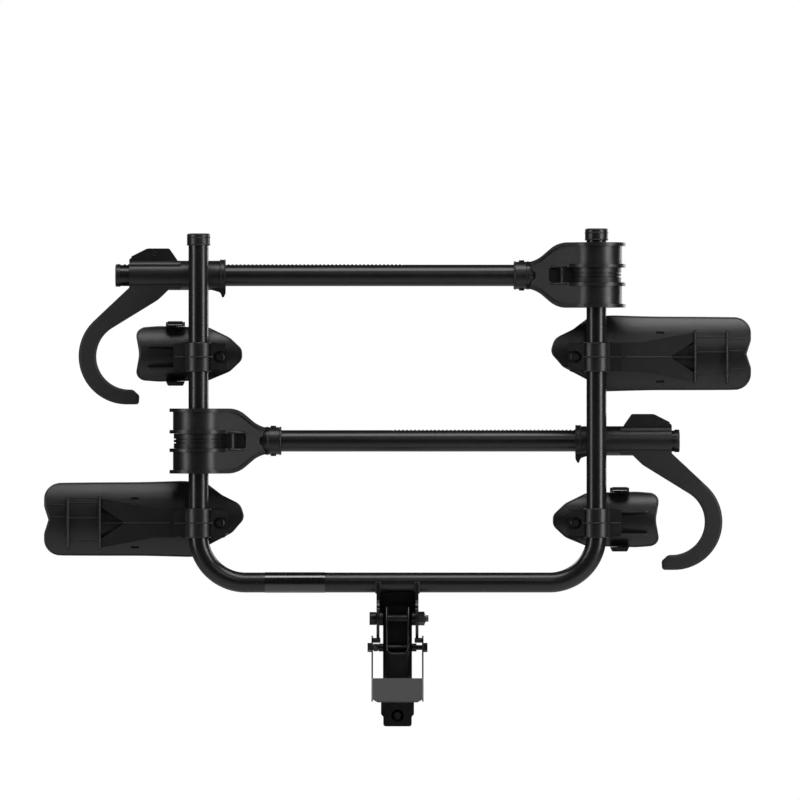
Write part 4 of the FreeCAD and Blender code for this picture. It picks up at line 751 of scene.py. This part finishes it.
# %% [markdown]
# ## Welds
# The bracket's side plates meet the cross tube in a saddle, and a fillet weld runs round the
# tube on both faces of each plate. The mast stands on the socket with a weld all round its
# foot. The drops overlap by half, which gives the ripples of a hand-run bead.

# %% Welds
WELD_STEP = 0.0022
BRACKET_WELD = (0.0052, 0.0056, 0.0056)     # length, width and height of a drop
FOOT_WELD = (0.0048, 0.0050, 0.0050)
PLATE_FACES = (0.036, 0.042)                # distances of a plate's faces from the middle
SADDLE_START, SADDLE_SWEEP = 1.0, 1.12      # half turns round the tube
SADDLE_STEPS = 26
WEB_FOOT, WEB_HEAD = 0.004, 0.014           # what the web's weld leaves free at its ends
MAST_CORNER = 0.012
STINGER_CORNER = 0.006


def bracket_welds():
    """Arcs round the cross tube beside the plates, and lines where the web meets them."""
    shape = bmesh.new()
    web_low, web_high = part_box("bracket_web")
    turns = [math.pi * (SADDLE_START + SADDLE_SWEEP * i / SADDLE_STEPS)
             for i in range(SADDLE_STEPS + 1)]
    saddle = [(CROSS.y + TUBE_R * math.cos(t), CROSS.z + TUBE_R * math.sin(t)) for t in turns]
    for side in SIDES:
        for face in PLATE_FACES:
            add_row(shape, [Vector((side * face, y, z)) for y, z in saddle])
        for y in (web_low.y, web_high.y):
            add_row(shape, [Vector((side * PLATE_FACES[0], y, z))
                            for z in (web_low.z + WEB_FOOT, web_high.z - WEB_HEAD)])
    rows_piece("bracket_welds", shape, WELD_STEP, BRACKET_WELD, -AHEAD, "frame_paint", "frame")


def rounded_loop(width, depth, corner, steps=6):
    """Points (a, b) round a rounded rectangle centred on the origin."""
    points = []
    for k, (a, b) in enumerate(((1, 1), (-1, 1), (-1, -1), (1, -1))):
        for i in range(steps + 1):
            turn = math.pi / 2.0 * (k + i / steps)
            points.append((a * (width / 2.0 - corner) + corner * math.cos(turn),
                           b * (depth / 2.0 - corner) + corner * math.sin(turn)))
    return points


def hitch_welds():
    """Beads round the mast's foot and round the stinger where it leaves the socket."""
    shape = bmesh.new()
    low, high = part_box("mast")
    centre = (low + high) / 2.0
    loop = rounded_loop(high.x - low.x, high.y - low.y, MAST_CORNER)
    add_row(shape, [Vector((centre.x + a, centre.y + b, low.z)) for a, b in loop], closed=True)
    low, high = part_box("stinger_tube")
    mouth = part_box("stinger_socket")[1].y
    loop = rounded_loop(high.x - low.x, high.z - low.z, STINGER_CORNER)
    add_row(shape, [Vector((a, mouth, b)) for a, b in loop], closed=True)
    rows_piece("hitch_welds", shape, WELD_STEP, FOOT_WELD, UP, "frame_paint", "hitch")


bracket_welds()
hitch_welds()

# %% [markdown]
# ## Strap teeth and buckle grips
# The strap is ratcheted by its cross teeth, and thumbs find the buckle by the bars on its
# rear face. Both are rows of long thin drops, laid across their path.

# %% Strap teeth and grips
TOOTH = (0.0024, 0.019, 0.0022)
TOOTH_STEP = 0.0042
TOOTHED_SHARE = 0.82         # of the cradle's height
GRIP = (0.0019, 0.0062, 0.0030)
GRIP_STEP = 0.0044
GRIP_HALF = 0.0145
GRIP_ABOVE, GRIP_BELOW = 0.0015, 0.0045     # distances of the two rows from the cradle


def strap_teeth():
    """Teeth on the face of each strap that lies towards the wheel."""
    shape = bmesh.new()
    target = surface("wheel_straps")
    for level in LEVELS:
        tray = middle(level + "_short_tray")
        buckle = middle(level + "_buckle_lever")
        reach = (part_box(level + "_short_tray")[1].z - tray.z) * TOOTHED_SHARE
        path = []
        for i in range(LINE_STEPS + 1):
            z = tray.z + reach * (2.0 * i / LINE_STEPS - 1.0)
            hit = target.ray_cast(Vector((buckle.x, FAR_AHEAD, z)), -AHEAD)[0]
            if hit:
                path.append(hit)
        add_row(shape, path)
    rows_piece("strap_teeth", shape, TOOTH_STEP, TOOTH, AHEAD, "strap_black", "frame")


def buckle_grips():
    """Bars on the rear faces of the buckles and of the strap anchors."""
    shape = bmesh.new()
    target = surface("strap_fittings")
    for level in LEVELS:
        buckle = middle(level + "_buckle_lever")
        low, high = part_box(level + "_short_tray")
        for z in (high.z + GRIP_ABOVE, low.z - GRIP_BELOW):
            hits = [from_behind(target, buckle.x + side * GRIP_HALF, z) for side in SIDES]
            if all(hits):
                add_row(shape, hits)
    rows_piece("buckle_grips", shape, GRIP_STEP, GRIP, -AHEAD, "strap_black", "frame")


strap_teeth()
buckle_grips()

# %% [markdown]
# ## Lip of the mast
# The mast's rear wall is cut away above the pedal, and the edge of the cut is rolled over, so
# that it shines as a U between the pedal's arms. It is one open tube on the cut's outline.

# %% Mast lip
LIP_HALF = 0.022
LIP_FOOT = 0.110
LIP_CORNER = 0.012
LIP_TUBE = 0.0021
LIP_SUNK = 0.6               # how deep the lip lies behind the wall's face, in radii


def mast_lip():
    """Rolled edge round the opening in the mast's rear wall."""
    low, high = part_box("mast")
    shape = bmesh.new()
    corner = [(LIP_CORNER * (1.0 - math.sin(t)), LIP_CORNER * (1.0 - math.cos(t)))
              for t in [math.pi / 2.0 * (1.0 - i / ARC_STEPS) for i in range(ARC_STEPS + 1)]]
    left = [(-LIP_HALF, high.z - LIP_TUBE)] + [(-LIP_HALF + a, LIP_FOOT + b) for a, b in corner]
    right = [(-a, b) for a, b in reversed(left)]
    path = [Vector((a, low.y + LIP_TUBE * LIP_SUNK, b)) for a, b in left + right]
    add_tube(shape, path, LIP_TUBE, AHEAD)
    finish_piece("mast_lip", shape, "frame_paint", "hitch")


mast_lip()

# %% [markdown]
# ## Rings and washers
# Plain cylinders look like a sketch, because real ones have a step, a lip or a washer where
# they meet something else. The caps have two ridges, the slider's flange is rounded, its
# pin has a shoulder, and each clamp bolt sits on a washer. All of these are rings: a tube on
# a closed circle.

# %% Rings
RING_STEPS = 48
RIDGE = (0.0228, 0.0012)     # radii of a ring's circle and of its tube
RIDGE_LIFTS = (-0.0105, 0.0035)         # heights from the upright's end
WASHER = (0.0086, 0.0014)
WASHER_INWARDS = 0.042       # distance of the bolts from the upright's axis
WASHER_SEAT = 0.0065         # distance of the seat from the top of the bolt's head
FLANGE = (0.0310, 0.0013)
FLANGE_EDGES = (0.0012, 0.0098)         # distances from the slider's flanged end
SHOULDER = (0.0036, 0.0009)
SHOULDER_HALF = 0.0150       # distance of the shoulders from the pin's middle


def add_ring(shape, centre, radii, axis):
    """A torus round an axis through its centre."""
    radius, tube = radii
    first = axis.orthogonal().normalized()
    second = axis.cross(first)
    path = circle(centre, first, second, radius, RING_STEPS)
    add_tube(shape, path, tube, axis, closed=True)


def cap_ridges():
    """Two ridges round the cap of each upright."""
    shape = bmesh.new()
    for upright in ("left_upright", "right_upright"):
        axis = middle(upright)
        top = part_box(upright)[1].z
        for lift in RIDGE_LIFTS:
            add_ring(shape, Vector((axis.x, axis.y, top + lift)), RIDGE, UP)
    finish_piece("cap_ridges", shape, "moulded_black", "frame")


def clamp_washers():
    """A washer under the head of each clamp bolt."""
    shape = bmesh.new()
    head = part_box("clamp_bolts")[0].y
    for level in LEVELS:
        for side in SIDES:
            x = side * (UPRIGHT_X - WASHER_INWARDS)
            add_ring(shape, Vector((x, head + WASHER_SEAT, tray_height(level))), WASHER, AHEAD)
    finish_piece("clamp_washers", shape, "bright_steel", "frame")


def slider_rings(level, side):
    """Rounded edges of the slider's flange, and shoulders at both ends of its pin."""
    shape = bmesh.new()
    arm = middle(level + "_arm_tube")
    start = end_off_hook(level + "_slider", side)
    for along in FLANGE_EDGES:
        add_ring(shape, Vector((start + side * along, arm.y, arm.z)), FLANGE, ACROSS)
    pin = middle(level + "_lever_pin")
    for end in SIDES:
        add_ring(shape, pin + AHEAD * end * SHOULDER_HALF, SHOULDER, AHEAD)
    finish_piece(level + "_slider_rings", shape, "hook_black", level + "_slider")


cap_ridges()
clamp_washers()
for level_name, level_side in LEVELS.items():
    slider_rings(level_name, level_side)

# %% [markdown]
# ## Light and floor
# Black things are shown by what they reflect. Two tall soft lamps, one on each side and
# nearly level with the frame, draw the pair of bright lines down every tube. A lamp above
# lights the tops of the trays and arms, and a weak one near the camera lifts the faces a
# little. The world behind the camera stays dim, so that the surfaces which face the viewer
# stay black. Two lamps on the car's side draw a thin rim on each edge, and light the rack
# when it is seen from there.

# %% Lamps
AIM = Vector((0.0, FRAME_PLANE, 0.55))
LAMPS = (                    # name, width and height, place, watts
    ("right_softbox", (0.9, 2.6), (2.7, -1.9, 1.0), 60.0),
    ("left_softbox", (0.7, 2.6), (-2.8, -1.7, 1.0), 36.0),
    ("top_softbox", (2.6, 1.1), (0.3, -1.0, 3.1), 50.0),
    ("front_fill", (1.4, 0.9), (1.1, -4.6, 3.0), 14.0),
    ("car_side_right", (1.0, 2.2), (2.3, 2.6, 1.5), 34.0),
    ("car_side_left", (1.6, 1.6), (-1.6, 3.2, 2.2), 30.0),
)


def add_lamp(name, size, place, power):
    """A rectangular soft lamp that points at the rack."""
    data = bpy.data.lights.new(name, "AREA")
    data.shape = "RECTANGLE"
    data.size, data.size_y = size
    data.energy = power
    lamp = bpy.data.objects.new(name, data)
    lamp.location = place
    lamp.rotation_euler = (AIM - Vector(place)).to_track_quat("-Z", "Y").to_euler()
    SCENE.collection.objects.link(lamp)


for lamp_values in LAMPS:
    add_lamp(*lamp_values)

# %% World, floor and backdrop
WORLD_FILL = 0.03
FLOOR_DROP = 0.90            # the floor's depth below the rack
FLOOR_RADIUS = 9.0
FLOOR_TONES = (0.80, 0.84)
FADE = (1.2, 4.0)            # distances over which the floor turns white for the camera


def add_world():
    """White where the camera sees it, and a dim even fill for everything else."""
    world = bpy.data.worlds.new("studio")
    SCENE.world = world
    world.use_nodes = True
    tree = world.node_tree
    background = tree.nodes["Background"]
    path = tree.nodes.new("ShaderNodeLightPath")
    seen = tree.nodes.new("ShaderNodeMath")
    seen.operation = "MAXIMUM"
    tree.links.new(path.outputs["Is Camera Ray"], seen.inputs[0])
    tree.links.new(path.outputs["Is Transmission Ray"], seen.inputs[1])
    level = tree.nodes.new("ShaderNodeMapRange")
    tree.links.new(seen.outputs[0], level.inputs["Value"])
    level.inputs["To Min"].default_value = WORLD_FILL
    level.inputs["To Max"].default_value = 1.0
    tree.links.new(level.outputs[0], background.inputs["Strength"])
    background.inputs["Color"].default_value = (1.0, 1.0, 1.0, 1.0)


def add_floor():
    """A pale round floor that fades to the white of the world."""
    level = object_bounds()[0].z - FLOOR_DROP
    mesh = bpy.data.meshes.new("floor")
    shape = bmesh.new()
    bmesh.ops.create_circle(shape, cap_ends=True, radius=FLOOR_RADIUS, segments=96)
    bmesh.ops.translate(shape, verts=shape.verts, vec=(0.0, 0.0, level))
    shape.to_mesh(mesh)
    shape.free()
    floor = bpy.data.objects.new("floor", mesh)
    SCENE.collection.objects.link(floor)
    finish = Finish("pale_floor")
    speckle = finish.noise(finish.place(), 3.0, detail=3.0)
    finish.set(Base_Color=finish.mix(speckle, *map(rgb, FLOOR_TONES)), Roughness=0.9)
    white = finish.node("ShaderNodeEmission", {}, {"Color": rgb(1.0), "Strength": 1.0})
    path = finish.node("ShaderNodeLightPath", {}, {}, "Is Camera Ray")
    distance = finish.node("ShaderNodeVectorMath", {"operation": "LENGTH"},
                           [finish.place()], "Value")
    share = path * distance.ramp(*FADE)
    mixed = finish.node("ShaderNodeMixShader", {},
                        {0: share, 1: Socket(finish, finish.principled.outputs[0]), 2: white})
    output = finish.tree.nodes["Material Output"]
    finish.tree.links.new(mixed.socket, output.inputs["Surface"])
    mesh.materials.append(finish.material)
    print("floor at", round(level, 3))


add_world()
add_floor()
